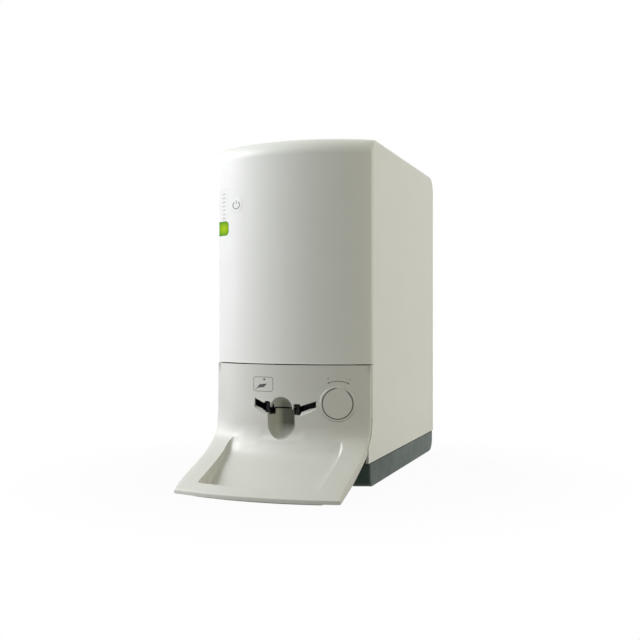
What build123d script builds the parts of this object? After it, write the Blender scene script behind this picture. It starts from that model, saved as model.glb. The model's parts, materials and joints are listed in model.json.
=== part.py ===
from build123d import *
from math import asin, atan2, cos, degrees, radians, sin, sqrt
import os

# A free-standing phosphor plate scanner. Millimetres, +Z up, the front faces -Y.
# The origin is on the table, under the middle of the footprint.

# Driving dimensions of the whole machine
body_width = 169.0
body_depth = 281.0          # side panel's front edge to the rear face
body_height = 348.0         # underside of the base to the top
foot_drop = 3.0             # rubber feet below the base
tray_reach = 110.0          # tray lip ahead of the side panels' front edge
bow_rise = 24.0             # bulge of the front in plan
seam_height = 121.5         # seam between front cover and tray panel, above the base's underside
base_height = 25.2
cover_wall = 3.0
seam_gap = 0.3
base_seam = 1.1             # between the covers and the base
panel_seam = 1.1            # between the front cover and the tray panel
edge_round = 4.5
front_top_round = 17.0
rear_top_round = 20.0
plate_width = 31.0          # the widest imaging plate
narrow_plate_width = 22.0   # the narrowest imaging plate
plate_length = 41.0
overrun = 5.0               # how far a cut runs past what it cuts
fit_gap = 0.3               # between pieces that sit side by side

half_width = body_width / 2
rear_y = (body_depth + tray_reach) / 2
front_y = rear_y - body_depth
base_z = foot_drop
top_z = foot_drop + body_height
seam_z = foot_drop + seam_height
base_top_z = foot_drop + base_height
bow_radius = (half_width**2 + bow_rise**2) / (2 * bow_rise)
bow_centre_y = front_y - bow_rise + bow_radius


def bow_y(x, inset=0):
    """Y of the bowed front at x, for a skin that lies inset behind it."""
    return bow_centre_y - sqrt((bow_radius - inset) ** 2 - x**2)


def skin_plane(x, z, depth=0):
    """A plane square to the bowed front at x and z, facing out, depth behind it."""
    across = x / bow_radius
    out = Vector(across, -sqrt(1 - across**2), 0)
    place = Vector(x, bow_y(x), z) - out * depth
    return Plane(origin=place, x_dir=Vector(-out.Y, out.X, 0), z_dir=out)


def tilted_plane(x, y, z, across):
    """A plane at a point, square to the bowed front's normal at across."""
    share = across / bow_radius
    out = Vector(share, -sqrt(1 - share**2), 0)
    return Plane(origin=(x, y, z), x_dir=Vector(-out.Y, out.X, 0), z_dir=out)


os.makedirs("parts", exist_ok=True)

def finish(name, label):
    """Label a finished piece and write it."""
    name.part.label = label
    export_step(name.part, "parts/" + label + ".step")


# Outer body: one bowed block, from which the covers are cut
def body_block(inset, floor_z):
    half = half_width - inset
    with BuildPart() as block:
        with BuildSketch(Plane.XY.offset(floor_z)):
            with BuildLine():
                ThreePointArc((-half, bow_y(half, inset)), (0, bow_y(0, inset)), (half, bow_y(half, inset)))
                Polyline(
                    (half, bow_y(half, inset)), (half, rear_y - inset),
                    (-half, rear_y - inset), (-half, bow_y(half, inset)),
                )
            make_face()
        extrude(amount=top_z - inset - floor_z)
        bow_edge = block.edges().filter_by(GeomType.CIRCLE).sort_by(Axis.Z)[-1]
        fillet(bow_edge, front_top_round - inset)
        fillet(block.edges().group_by(Axis.Y)[-1].sort_by(Axis.Z)[-1], rear_top_round - inset)
        flat = fit_gap / 10
        rim = block.edges().filter_by(
            lambda e: abs(abs(e.center().X) - half) < flat and e.bounding_box().size.X < flat
            and e.center().Z > floor_z + flat
        )
        fillet(rim, edge_round - inset)
    return block.part


# The tray panel's skin, as rows down from the seam to the lip: how far each stands ahead of the
# side panels' front edge, how high it is, and how much it bulges in the middle.
skin_shares = (
    (0.018, 1.0, 1.0), (0.036, 0.519, 0.94), (0.075, 0.410, 0.77), (0.173, 0.334, 0.625),
    (0.306, 0.264, 0.562), (0.475, 0.202, 0.52), (0.652, 0.144, 0.5), (0.806, 0.088, 0.48),
    (0.9, 0.039, 0.458),
)
# The tray's floor, in the same way, from where it leaves the skin to the lip's back
floor_shares = (
    (0.0525, 0.50, 0.915), (0.067, 0.45, 0.835), (0.0905, 0.395, 0.752), (0.126, 0.333, 0.70),
    (0.178, 0.281, 0.62), (0.365, 0.177, 0.5), (0.563, 0.060, 0.5), (0.656, 0.0132, 0.54),
    (0.78, 0.0066, 0.57),
)
# The lower edge of the side flange and the rear edge that meets the cover
flange_shares = (
    (0.909, 0.010), (0.75, 0.052), (0.584, 0.099), (0.415, 0.163), (0.239, 0.232), (0.132, 0.280),
)
nose_shares = ((0.132, 0.330), (0.045, 0.420), (0, 0.56), (0, 1.0))


def skin_row(row, x):
    reach_share, height_share, bulge_share = row
    bulge = (front_y - bow_y(x)) * bulge_share
    return (front_y - reach_share * tray_reach - bulge, base_z + height_share * seam_height)


def skin_points(rows, x, depth=0):
    """Points of a skin in the plane at x, moved depth behind or under it."""
    line = [Vector(*skin_row(row, x)) for row in rows]
    moved = []
    for index, point in enumerate(line):
        before = line[max(index - 1, 0)]
        after = line[min(index + 1, len(line) - 1)]
        along = (after - before).normalized()
        moved.append((point.X - along.Y * depth, point.Y + along.X * depth))
    return moved


def panel_y(x, z):
    """Y of the upright part of the tray panel's skin."""
    (top_y, upper_z), (low_y, lower_z) = skin_row(skin_shares[0], x), skin_row(skin_shares[1], x)
    return top_y + (low_y - top_y) * (upper_z - z) / (upper_z - lower_z)


def lofted(stations, outline):
    """A solid through the side outlines that a function draws at each x."""
    with BuildPart() as body:
        for x in stations:
            with BuildSketch(Plane.YZ.offset(x)):
                with BuildLine():
                    outline(x)
                make_face()
        loft()
    return body.part


def slab(x_span, y_span, z_span, mode=Mode.ADD):
    """A box between two places along each axis, in the piece being built."""
    middle = ((x_span[0] + x_span[1]) / 2, (y_span[0] + y_span[1]) / 2, (z_span[0] + z_span[1]) / 2)
    with Locations(middle):
        Box(x_span[1] - x_span[0], y_span[1] - y_span[0], z_span[1] - z_span[0], mode=mode)


def rod(radius, start, end, mode=Mode.ADD):
    """A round bar from one point to another, in the piece being built."""
    run = Vector(*end) - Vector(*start)
    with Locations(Plane(origin=start, z_dir=run)):
        Cylinder(radius, run.length, align=(Align.CENTER, Align.CENTER, Align.MIN), mode=mode)


def around(middle, width):
    """A span of a width about a middle."""
    return (middle - width / 2, middle + width / 2)


# Tray panel: the silver lower front, its bowl and slot, and the tray, moulded in one
tray_side_inset = 1.0
tray_wall = 3.0
lip_slope = 33.0
well_half_width = 61.7
well_wall = 2.2
well_round = 4.0
tray_edge_round = 1.6
lip_round = 1.0
slot_x = -3.0               # the plate path lies a little left of the middle
slot_height = 77.4          # above the base's underside
slot_opening = 1.8
trough_half_width = 14.7
trough_drop = 30.7          # under the slot
scoop_half_width = 12.0
scoop_rise = 12.0
bowl_wall = 2.5
# The jaws' windows: side, inner and outer edge from the plate path's middle, reach under and over the slot
notches = ((-1, 11.8, 18.6, 4.4, 7.2), (1, 13.0, 20.3, 6.3, 5.1))
notch_round = 1.4
jaw_room_inner = 10.1       # room for the jaws behind the skin
jaw_room_outer = 21.6
jaw_room_reach = 6.3        # under and over the slot
wing_tip = 33.0
wing_tip_low = 2.1          # over the slot
wing_tip_high = 8.2
wing_root_low = 2.4         # under the slot
wing_root_high = 2.7        # over the slot
wing_left_rise = 1.9        # the left wing's top over the right wing's
wing_lip = 1.3
wing_run = 12.0             # length of the slanted lead into a wing
wing_fall = 13.0            # and how far its lower edge falls over that length
wing_depth = 1.5            # its end behind the skin at the tip
knob_inset = 31.0           # from the right side
knob_height = 83.3
bezel_diameter = 35.5
knob_x = half_width - knob_inset
tray_half_width = half_width - tray_side_inset
tray_top_z = seam_z - panel_seam / 2
deep_z = base_z - overrun
slot_z = base_z + slot_height
knob_z = base_z + knob_height
slot_skin_y = panel_y(slot_x, slot_z)
bowl_back_y = slot_skin_y + trough_half_width + bowl_wall
station_shares = (-1, -0.5, 0, 0.5, 1)


def envelope_outline(x):
    skin = skin_points(skin_shares, x)
    top = (skin[0][0], tray_top_z)
    slope = (skin[1][0] - top[0], skin[1][1] - top[1])
    fall = (-cos(radians(lip_slope)), -sin(radians(lip_slope)))
    middle = ((top[0] + skin[1][0]) / 2, (top[1] + skin[1][1]) / 2)
    Spline(top, middle, *skin[1:], tangents=(slope, fall))
    Polyline(skin[-1], (skin[-1][0], deep_z), (front_y, deep_z), (front_y, tray_top_z), top)


def hollow_outline(x):
    skin = skin_points(skin_shares, x, tray_wall)
    top = (skin[0][0], tray_top_z + overrun)
    inner = skin[1:-1]
    back_y = front_y + overrun
    low_z = deep_z - overrun
    Line(top, inner[0])
    Spline(*inner)
    Polyline(inner[-1], (inner[-1][0], low_z), (back_y, low_z), (back_y, tray_top_z + overrun), top)


def well_outline(x):
    floor = skin_points(floor_shares, x)
    Spline(*floor)
    Polyline(floor[-1], (floor[-1][0], floor[0][1]), floor[0])


def well_body_outline(x):
    floor = skin_points(floor_shares, x, well_wall)
    front = floor[-1][0] - well_wall
    Spline(*floor)
    Polyline(floor[-1], (front, floor[-1][1]), (front, floor[0][1]), floor[0])


def stations(reach):
    return [share * reach for share in station_shares]


# The skin's block, with its side and lip edges rounded
with BuildPart() as envelope:
    add(lofted(stations(tray_half_width), envelope_outline))
    small = fit_gap / 10
    side_edges = envelope.edges().filter_by(
        lambda e: e.bounding_box().size.X < small and e.bounding_box().size.Y > tray_reach / 2
        and e.bounding_box().size.Z > base_height
    )
    fillet(side_edges, tray_edge_round)
    lip_edge = envelope.edges().filter_by(
        lambda e: e.bounding_box().size.X > tray_half_width
        and abs(e.center().Z - skin_row(skin_shares[-1], 0)[1]) < lip_round
    )
    fillet(lip_edge, lip_round)

with BuildPart() as well:
    add(lofted(stations(well_half_width), well_outline))
    floor_edges = well.edges().filter_by(
        lambda e: e.bounding_box().size.X < small and e.bounding_box().size.Y > tray_reach / 2
        and e.bounding_box().size.Z > base_height
    )
    fillet(floor_edges, well_round)

with BuildPart() as well_body:
    add(lofted(stations(well_half_width + well_wall), well_body_outline))
    add(envelope.part, mode=Mode.INTERSECT)

# The walls round the bowl, which reach back to the plate guides
with BuildPart() as bowl_body:
    slab(
        around(slot_x, 2 * (trough_half_width + bowl_wall)),
        (front_y - tray_reach / 2, bowl_back_y),
        (slot_z - trough_drop - bowl_wall, slot_z + scoop_rise + bowl_wall),
    )
    add(envelope.part, mode=Mode.INTERSECT)


# The trough under the slot: upright and round at its foot. The scoop over it is half an egg.
trough_front_y = slot_skin_y - bow_rise
with BuildPart() as trough:
    foot_z = slot_z - trough_drop + trough_half_width
    rod(trough_half_width, (slot_x, slot_skin_y, foot_z), (slot_x, slot_skin_y, slot_z))
    with Locations((slot_x, slot_skin_y, foot_z)):
        Sphere(trough_half_width)
    rod(trough_half_width, (slot_x, slot_skin_y, foot_z), (slot_x, trough_front_y, foot_z))
    slab(around(slot_x, 2 * trough_half_width), (trough_front_y, slot_skin_y), (foot_z, slot_z))

with BuildPart() as scoop:
    with BuildSketch(Plane.XZ.offset(-slot_skin_y)):
        with Locations((slot_x, slot_z)):
            Ellipse(scoop_half_width, scoop_rise)
        with Locations((slot_x - scoop_half_width, slot_z)):
            Rectangle(2 * scoop_half_width, 2 * scoop_rise + overrun, mode=Mode.SUBTRACT)
    revolve(axis=Axis((slot_x, slot_skin_y, slot_z), (0, 0, 1)))
    slab(
        around(slot_x, 2 * scoop_half_width + overrun), around(slot_skin_y, 2 * scoop_half_width + overrun),
        (slot_z, seam_z), mode=Mode.INTERSECT,
    )


def wing(side, outer, lower):
    """One end of the slot, which rises and opens outwards, with its lower edge let down."""
    root_x = slot_x + side * (outer - wing_lip)
    rise = wing_left_rise * (1 - side) / 2
    Polyline(
        (root_x, slot_z - wing_root_low - lower), (side * wing_tip, slot_z + wing_tip_low - lower),
        (side * wing_tip, slot_z + wing_tip_high + rise), (root_x, slot_z + wing_root_high + rise), close=True,
    )


def wing_cut(side, outer):
    """The wing's opening, and in front of it a lead whose floor slants down to the skin."""
    end_y = panel_y(wing_tip, slot_z) + wing_depth
    with BuildPart() as cut:
        for y, lower in ((end_y, 0), (end_y - wing_run, wing_fall)):
            with BuildSketch(Plane.XZ.offset(-y)):
                with BuildLine():
                    wing(side, outer, lower)
                make_face()
        loft()
        with BuildSketch(Plane.XZ.offset(-bowl_back_y - overrun)):
            with BuildLine():
                wing(side, outer, 0)
            make_face()
        extrude(amount=tray_reach / 4)
    return cut.part


knob_plane = tilted_plane(knob_x, panel_y(knob_x, knob_z), knob_z, knob_x)
bezel_gap = 0.2
jaw_room_y = panel_y(slot_x + jaw_room_outer, slot_z) + tray_wall
with BuildPart() as tray_panel:
    add(envelope.part)
    add(lofted(stations(tray_half_width - tray_wall), hollow_outline), mode=Mode.SUBTRACT)
    with BuildSketch(Plane.YZ.offset(-half_width - overrun)):
        with BuildLine():
            edge = [
                (front_y - reach_share * tray_reach, base_z + height_share * seam_height)
                for reach_share, height_share in flange_shares + nose_shares
            ]
            far_y = front_y - tray_reach - overrun
            back_y = front_y + overrun
            Polyline(
                (far_y, edge[0][1]), *edge, (edge[-1][0], top_z), (back_y, top_z),
                (back_y, deep_z - overrun), (far_y, deep_z - overrun), close=True,
            )
        make_face()
    extrude(amount=body_width + 2 * overrun, mode=Mode.SUBTRACT)
    add(well_body.part)
    add(bowl_body.part)
    add(well.part, mode=Mode.SUBTRACT)
    add(trough.part, mode=Mode.SUBTRACT)
    add(scoop.part, mode=Mode.SUBTRACT)
    slab(
        around(slot_x, 2 * trough_half_width), (slot_skin_y, bowl_back_y + overrun),
        around(slot_z, slot_opening), mode=Mode.SUBTRACT,
    )
    for side, inner, outer, low, high in notches:
        with BuildSketch(Plane.XZ.offset(-bowl_back_y - overrun)):
            with Locations((slot_x + side * (inner + outer) / 2, slot_z + (high - low) / 2)):
                RectangleRounded(outer - inner, low + high, notch_round)
        extrude(amount=tray_reach / 2, mode=Mode.SUBTRACT)
        add(wing_cut(side, outer), mode=Mode.SUBTRACT)
        slab(
            around(slot_x + side * (jaw_room_inner + jaw_room_outer) / 2, jaw_room_outer - jaw_room_inner),
            (jaw_room_y, bowl_back_y + overrun), around(slot_z, 2 * jaw_room_reach), mode=Mode.SUBTRACT,
        )
    with Locations(knob_plane):
        Cylinder(bezel_diameter / 2 + bezel_gap, 4 * tray_wall, mode=Mode.SUBTRACT)
finish(tray_panel, "tray_panel")

# Covers
rim_depth = 3.0             # front cover's rim behind the side panels' front edge
split_y = front_y + rim_depth
cover_low_z = base_top_z
outer_body = body_block(0, cover_low_z)
inner_body = body_block(cover_wall, cover_low_z - overrun)

# Front display: a column of bars over a green lens, and the power button
bar_inset = 8.5             # from the left side
bar_top_drop = 50.6         # under the top
bar_pitch = 4.2
bar_count = 7
bar_width = 6.0
bar_high = 2.0
pipe_depth = 5.5
lens_drop = 79.0            # under the top
lens_high = 15.0
lens_width = 15.7           # from the left side
lens_corner = 4.5
button_inset = 26.3         # from the left side
button_drop = 63.2          # under the top
button_diameter = 17.0
button_travel = 1.0
button_gap = 0.1            # round the button in its hole
bar_x = bar_inset - half_width
bar_places = [top_z - bar_top_drop - step * bar_pitch for step in range(bar_count)]
lens_inner_x = lens_width - half_width
lens_z = top_z - lens_drop - lens_high / 2
button_x = button_inset - half_width
button_z = top_z - button_drop


def lens_block(gap):
    """The lens's window, smaller by a gap, as a block that runs back through the cover."""
    inner_x = lens_inner_x - gap
    outer_x = -half_width - overrun
    with BuildPart() as window:
        with BuildSketch(Plane.XZ.offset(-front_y)):
            with Locations(((inner_x + outer_x) / 2, lens_z)):
                RectangleRounded(inner_x - outer_x, lens_high - 2 * gap, lens_corner - gap)
        extrude(amount=bow_rise + overrun)
    return window.part


button_sag = 0.5            # the skin's curve across the button's flange
board_depth = 14.0          # indicator board behind the skin
board_post_radius = 2.5
board_post_across = 4.0     # from the button
board_post_rises = (-31.0, 15.0)
button_face = skin_plane(button_x, button_z, board_depth)
with BuildPart() as front_cover:
    add(outer_body)
    add(inner_body, mode=Mode.SUBTRACT)
    slab(around(0, 2 * body_width), (split_y, rear_y + overrun), (0, top_z + overrun), mode=Mode.SUBTRACT)
    slab(
        around(0, 2 * body_width), (front_y - tray_reach, rear_y), (0, seam_z + panel_seam / 2),
        mode=Mode.SUBTRACT,
    )
    add(lens_block(0), mode=Mode.SUBTRACT)
    for z in bar_places:
        with Locations(skin_plane(bar_x, z)):
            Box(bar_width, bar_high, 4 * cover_wall, mode=Mode.SUBTRACT)
    with Locations(skin_plane(button_x, button_z)):
        Cylinder(button_diameter / 2 + button_gap, 4 * cover_wall, mode=Mode.SUBTRACT)
    with Locations(button_face):
        with Locations(*[(board_post_across, rise, 0) for rise in board_post_rises]):
            Cylinder(board_post_radius, board_depth - cover_wall + button_sag,
                     align=(Align.CENTER, Align.CENTER, Align.MIN))
finish(front_cover, "front_cover")

with BuildPart() as status_lens:
    add(outer_body)
    add(inner_body, mode=Mode.SUBTRACT)
    add(lens_block(fit_gap), mode=Mode.INTERSECT)
finish(status_lens, "status_lens")

pipe_gap = 0.1
with BuildPart() as level_light_pipe:
    for z in bar_places:
        with Locations(skin_plane(bar_x, z)):
            Box(
                bar_width - 2 * pipe_gap, bar_high - 2 * pipe_gap, pipe_depth,
                align=(Align.CENTER, Align.CENTER, Align.MAX),
            )
    with Locations(skin_plane(bar_x, (bar_places[0] + bar_places[-1]) / 2, cover_wall + fit_gap)):
        Box(
            bar_width, bar_places[0] - bar_places[-1] + bar_high, pipe_depth - cover_wall - fit_gap,
            align=(Align.CENTER, Align.CENTER, Align.MAX),
        )
finish(level_light_pipe, "level_light_pipe")

button_flange = 1.6
button_flange_thick = 1.5
button_stem_diameter = 6.0
switch_height = 4.3
switch_gap = 0.3
plunger_diameter = 3.5
plunger_length = 1.4
with BuildPart() as power_button:
    with Locations(skin_plane(button_x, button_z)):
        Cylinder(button_diameter / 2, cover_wall + button_sag + button_flange_thick,
                 align=(Align.CENTER, Align.CENTER, Align.MAX))
    with Locations(skin_plane(button_x, button_z, cover_wall + button_sag)):
        Cylinder(button_diameter / 2 + button_flange, button_flange_thick,
                 align=(Align.CENTER, Align.CENTER, Align.MAX))
    stem_start = cover_wall + button_sag
    stem_end = board_depth - switch_height - button_travel - switch_gap - plunger_length
    with Locations(skin_plane(button_x, button_z, stem_start)):
        Cylinder(button_stem_diameter / 2, stem_end - stem_start,
                 align=(Align.CENTER, Align.CENTER, Align.MAX))
    fillet(power_button.edges().filter_by(GeomType.CIRCLE).group_by(Axis.Y)[0], bezel_gap)
finish(power_button, "power_button")

with BuildPart() as switch_plunger:
    with Locations(skin_plane(button_x, button_z, stem_end)):
        Cylinder(plunger_diameter / 2, plunger_length, align=(Align.CENTER, Align.CENTER, Align.MAX))
finish(switch_plunger, "switch_plunger")

switch_width = 6.2
with BuildPart() as power_switch:
    with Locations(skin_plane(button_x, button_z, board_depth - switch_height)):
        Box(switch_width, switch_width, switch_height, align=(Align.CENTER, Align.CENTER, Align.MAX))
finish(power_switch, "power_switch")

# The indicator board stands square to the skin at the button, and carries the lamps
board_thick = 1.6
board_reach_in = 7.0
board_reach_out = 26.0
board_under = 34.8          # the button
board_over = 18.2
lamp_size = 3.0
lamp_high = 1.8
with BuildPart() as indicator_board:
    across = (board_reach_in - board_reach_out) / 2
    up = (board_over - board_under) / 2
    with Locations(button_face):
        with Locations((across, up, 0)):
            Box(board_reach_in + board_reach_out, board_over + board_under, board_thick,
                align=(Align.CENTER, Align.CENTER, Align.MAX))
        for z in bar_places:
            with Locations((bar_x - button_x, z - button_z, 0)):
                Box(lamp_size, lamp_size, lamp_high, align=(Align.CENTER, Align.CENTER, Align.MIN))
        for share in (-0.25, 0.25):
            with Locations((bar_x - button_x, lens_z - button_z + share * lens_high, 0)):
                Box(lamp_size, lamp_size, lamp_high, align=(Align.CENTER, Align.CENTER, Align.MIN))
finish(indicator_board, "indicator_board")

# Rear wall: a connector plate in an opening, and vents above it
opening_inset = 22.5        # rear opening's side from the cover's side
opening_low_height = 40.0
opening_high_height = 196.0
opening_corner = 6.0
vent_count = 9
vent_width = 96.0
vent_high = 3.2
vent_pitch = 8.0
vent_top_drop = 32.0        # under the top
screw_head_diameter = 6.0
screw_head_high = 2.0
screw_diameter = 3.0
panel_margin = 8.0          # rear panel's edge behind the cover's wall
panel_screw_inset = 4.0
opening_half_width = half_width - opening_inset
panel_screw_places = [
    (side * (opening_half_width + panel_screw_inset), base_z + height)
    for side in (-1, 1)
    for height in (opening_low_height + opening_corner, opening_high_height - opening_corner)
]


def rear_sketch(gap):
    with Locations((0, base_z + (opening_low_height + opening_high_height) / 2)):
        RectangleRounded(
            2 * (opening_half_width - gap), opening_high_height - opening_low_height - 2 * gap,
            opening_corner - gap,
        )


with BuildPart() as main_cover:
    add(outer_body)
    add(inner_body, mode=Mode.SUBTRACT)
    slab(
        around(0, 2 * body_width), (front_y - tray_reach, split_y + seam_gap), (seam_z, top_z + overrun),
        mode=Mode.SUBTRACT,
    )
    slab(
        around(0, 2 * body_width), (front_y - tray_reach, front_y + seam_gap), (0, seam_z + overrun),
        mode=Mode.SUBTRACT,
    )
    with BuildSketch(Plane.XZ.offset(-rear_y - overrun)):
        rear_sketch(0)
        for step in range(vent_count):
            with Locations((0, top_z - vent_top_drop - step * vent_pitch)):
                SlotOverall(vent_width, vent_high)
    extrude(amount=4 * overrun, mode=Mode.SUBTRACT)
    for x, z in panel_screw_places:
        rod(screw_head_diameter / 2 + fit_gap, (x, rear_y - screw_head_high, z), (x, rear_y + overrun, z),
            mode=Mode.SUBTRACT)
        rod(
            screw_diameter / 2 + pipe_gap, (x, rear_y - 2 * cover_wall, z), (x, rear_y, z), mode=Mode.SUBTRACT,
        )
    for side in (-1, 1):
        with BuildSketch(Plane.YZ.offset(side * (half_width - cover_wall))):
            with BuildLine():
                cheek = [
                    (front_y - reach_share * tray_reach + seam_gap, base_z + height_share * seam_height)
                    for reach_share, height_share in nose_shares
                ]
                Polyline(
                    (cheek[0][0], cover_low_z), *cheek[:3], (split_y + seam_gap, cheek[2][1]),
                    (split_y + seam_gap, cover_low_z), close=True,
                )
            make_face()
        extrude(amount=side * cover_wall)
finish(main_cover, "main_cover")

# Base: a dark pan with bosses that carry the chassis
base_side_inset = 0.6
base_lead = 8.0             # its front corners stand ahead of the side panels' front edge
base_bow = 14.0
base_rear_inset = 5.0
base_wall = 3.0
base_front_round = 12.0
base_rear_round = 15.0
base_edge_round = 2.0
chassis_lift = 3.0          # chassis sheet above the base's rim
chassis_thick = 2.0
boss_radius = 6.0
foot_radius = 7.0
foot_recess = 1.0
foot_inset_x = 22.0
foot_inset_front = 40.0
foot_inset_rear = 26.0
chassis_z = base_top_z + chassis_lift
base_rim_z = base_top_z - base_seam
foot_places = [
    (side * (half_width - foot_inset_x), y)
    for side in (-1, 1)
    for y in (front_y + foot_inset_front, rear_y - foot_inset_rear)
]
boss_places = [
    (side * (half_width - foot_inset_x), y)
    for side in (-1, 1)
    for y in (front_y + foot_inset_rear / 2, (front_y + rear_y) / 2, rear_y - foot_inset_front)
]


def pan_block(inset, floor_z):
    """The base's block, or its hollow when it is inset by the wall."""
    half = half_width - base_side_inset - inset
    corner_y = front_y - base_lead + inset
    nose_y = corner_y - base_bow
    back_y = rear_y - base_rear_inset - inset
    with BuildPart() as pan:
        with BuildSketch(Plane.XY.offset(floor_z)):
            with BuildLine():
                ThreePointArc((-half, corner_y), (0, nose_y), (half, corner_y))
                Polyline((half, corner_y), (half, back_y), (-half, back_y), (-half, corner_y))
            make_face()
        extrude(amount=base_rim_z - floor_z)
        if inset == 0:
            fillet(pan.edges().filter_by(GeomType.CIRCLE).sort_by(Axis.Z)[0], base_front_round)
            fillet(pan.edges().group_by(Axis.Y)[-1].sort_by(Axis.Z)[0], base_rear_round)
            rim = pan.edges().filter_by(
                lambda e: abs(abs(e.center().X) - half) < small and e.bounding_box().size.X < small
                and e.center().Z < base_rim_z - small
            )
            fillet(rim, base_edge_round)
    return pan.part


with BuildPart() as base_housing:
    add(pan_block(0, base_z))
    add(pan_block(base_wall, base_z + base_wall), mode=Mode.SUBTRACT)
    with Locations(*[(x, y, base_z + base_wall) for x, y in boss_places]):
        Cylinder(boss_radius, chassis_z - base_z - base_wall, align=(Align.CENTER, Align.CENTER, Align.MIN))
    with Locations(*[(x, y, base_z) for x, y in boss_places]):
        Cylinder(screw_head_diameter / 2 + fit_gap, 2 * screw_head_high,
                 align=(Align.CENTER, Align.CENTER, Align.MIN), mode=Mode.SUBTRACT)
        Cylinder(screw_diameter / 2 + pipe_gap, chassis_z,
                 align=(Align.CENTER, Align.CENTER, Align.MIN), mode=Mode.SUBTRACT)
    with Locations(*[(x, y, base_z) for x, y in foot_places]):
        Cylinder(foot_radius + bezel_gap, foot_recess, align=(Align.CENTER, Align.CENTER, Align.MIN),
                 mode=Mode.SUBTRACT)
finish(base_housing, "base_housing")

with BuildPart() as rubber_feet:
    with Locations(*[(x, y, 0) for x, y in foot_places]):
        Cylinder(foot_radius, foot_drop + foot_recess, align=(Align.CENTER, Align.CENTER, Align.MIN))
    fillet(rubber_feet.edges().filter_by(GeomType.CIRCLE).group_by(Axis.Z)[0], foot_recess / 2)
finish(rubber_feet, "rubber_feet")

with BuildPart() as base_screws:
    with Locations(*[(x, y, base_z + screw_head_high) for x, y in boss_places]):
        Cylinder(screw_head_diameter / 2, screw_head_high, align=(Align.CENTER, Align.CENTER, Align.MIN))
        Cylinder(screw_diameter / 2, chassis_z + chassis_thick - base_z - screw_head_high,
                 align=(Align.CENTER, Align.CENTER, Align.MIN))
finish(base_screws, "base_screws")

# Chassis: a sheet floor, two side frames and the optics deck on top of them
chassis_side_inset = 8.0
chassis_front = 4.0         # behind the side panels' front edge
chassis_rear = 10.0
frame_inset = 24.5          # from the side panels' outside
frame_thick = 2.0
frame_front = 40.0          # behind the side panels' front edge
frame_length = 160.0
frame_flange = 12.0
deck_drop = 116.0           # under the top
deck_thick = 3.0
window_inset = 18.0
window_round = 10.0
chassis_top = chassis_z + chassis_thick
frame_x = half_width - frame_inset
deck_z = top_z - deck_drop
frame_y = (front_y + frame_front, front_y + frame_front + frame_length)
chassis_y = (front_y + chassis_front, rear_y - chassis_rear)
frame_screw_places = [
    (side * (frame_x - frame_flange / 2), y)
    for side in (-1, 1)
    for y in (frame_y[0] + window_inset, frame_y[1] - window_inset)
]


def frame_screw_holes(z_span):
    """Holes for the frames' screws in the piece being built."""
    for x, y in frame_screw_places:
        rod(screw_diameter / 2 + pipe_gap, (x, y, z_span[0]), (x, y, z_span[1]), mode=Mode.SUBTRACT)


with BuildPart() as chassis_floor:
    slab(around(0, body_width - 2 * chassis_side_inset), chassis_y, (chassis_z, chassis_top))
    with Locations(*[(x, y, chassis_z) for x, y in boss_places]):
        Cylinder(screw_diameter / 2 + pipe_gap, 2 * chassis_thick + overrun, mode=Mode.SUBTRACT)
    frame_screw_holes((0, deck_z))
finish(chassis_floor, "chassis_floor")


def side_frame(side):
    """A sheet frame with a foot flange, a top flange and two windows."""
    outer = side * (frame_x + frame_thick)
    inner = side * (frame_x - frame_flange)
    wall = sorted((side * frame_x, outer))
    with BuildPart() as frame:
        slab(wall, frame_y, (chassis_top, deck_z))
        for z in (chassis_top, deck_z - frame_thick):
            slab(sorted((inner, outer)), frame_y, (z, z + frame_thick))
        middle_z = (chassis_top + deck_z) / 2
        window_high = (deck_z - chassis_top) / 2 - 1.5 * window_inset
        with BuildSketch(Plane.YZ.offset(side * frame_x - side * overrun)):
            with Locations(*[
                ((frame_y[0] + frame_y[1]) / 2, middle_z + share * (window_high + window_inset))
                for share in (-0.5, 0.5)
            ]):
                RectangleRounded(frame_length - 2 * window_inset, window_high, window_round)
        extrude(amount=side * 4 * overrun, mode=Mode.SUBTRACT)
        frame_screw_holes((0, top_z))
    return frame


left_side_frame = side_frame(-1)
finish(left_side_frame, "left_side_frame")
right_side_frame = side_frame(1)
finish(right_side_frame, "right_side_frame")

beam_slit_width = 56.0
beam_slit_high = 6.0
scan_y = front_y + 66.0     # the line where the beam meets the plate
with BuildPart() as optics_deck:
    slab(around(0, 2 * (frame_x + frame_thick)), frame_y, (deck_z, deck_z + deck_thick))
    slab(around(slot_x, beam_slit_width), around(scan_y, beam_slit_high), (deck_z - overrun, deck_z + overrun),
         mode=Mode.SUBTRACT)
    frame_screw_holes((0, top_z))
finish(optics_deck, "optics_deck")

with BuildPart() as frame_screws:
    for x, y in frame_screw_places:
        screw_ends = ((chassis_top + frame_thick, chassis_z), (deck_z + deck_thick, deck_z - frame_thick))
        for head_z, end_z in screw_ends:
            rod(screw_head_diameter / 2, (x, y, head_z), (x, y, head_z + screw_head_high))
            rod(screw_diameter / 2, (x, y, end_z), (x, y, head_z))
finish(frame_screws, "frame_screws")

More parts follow.
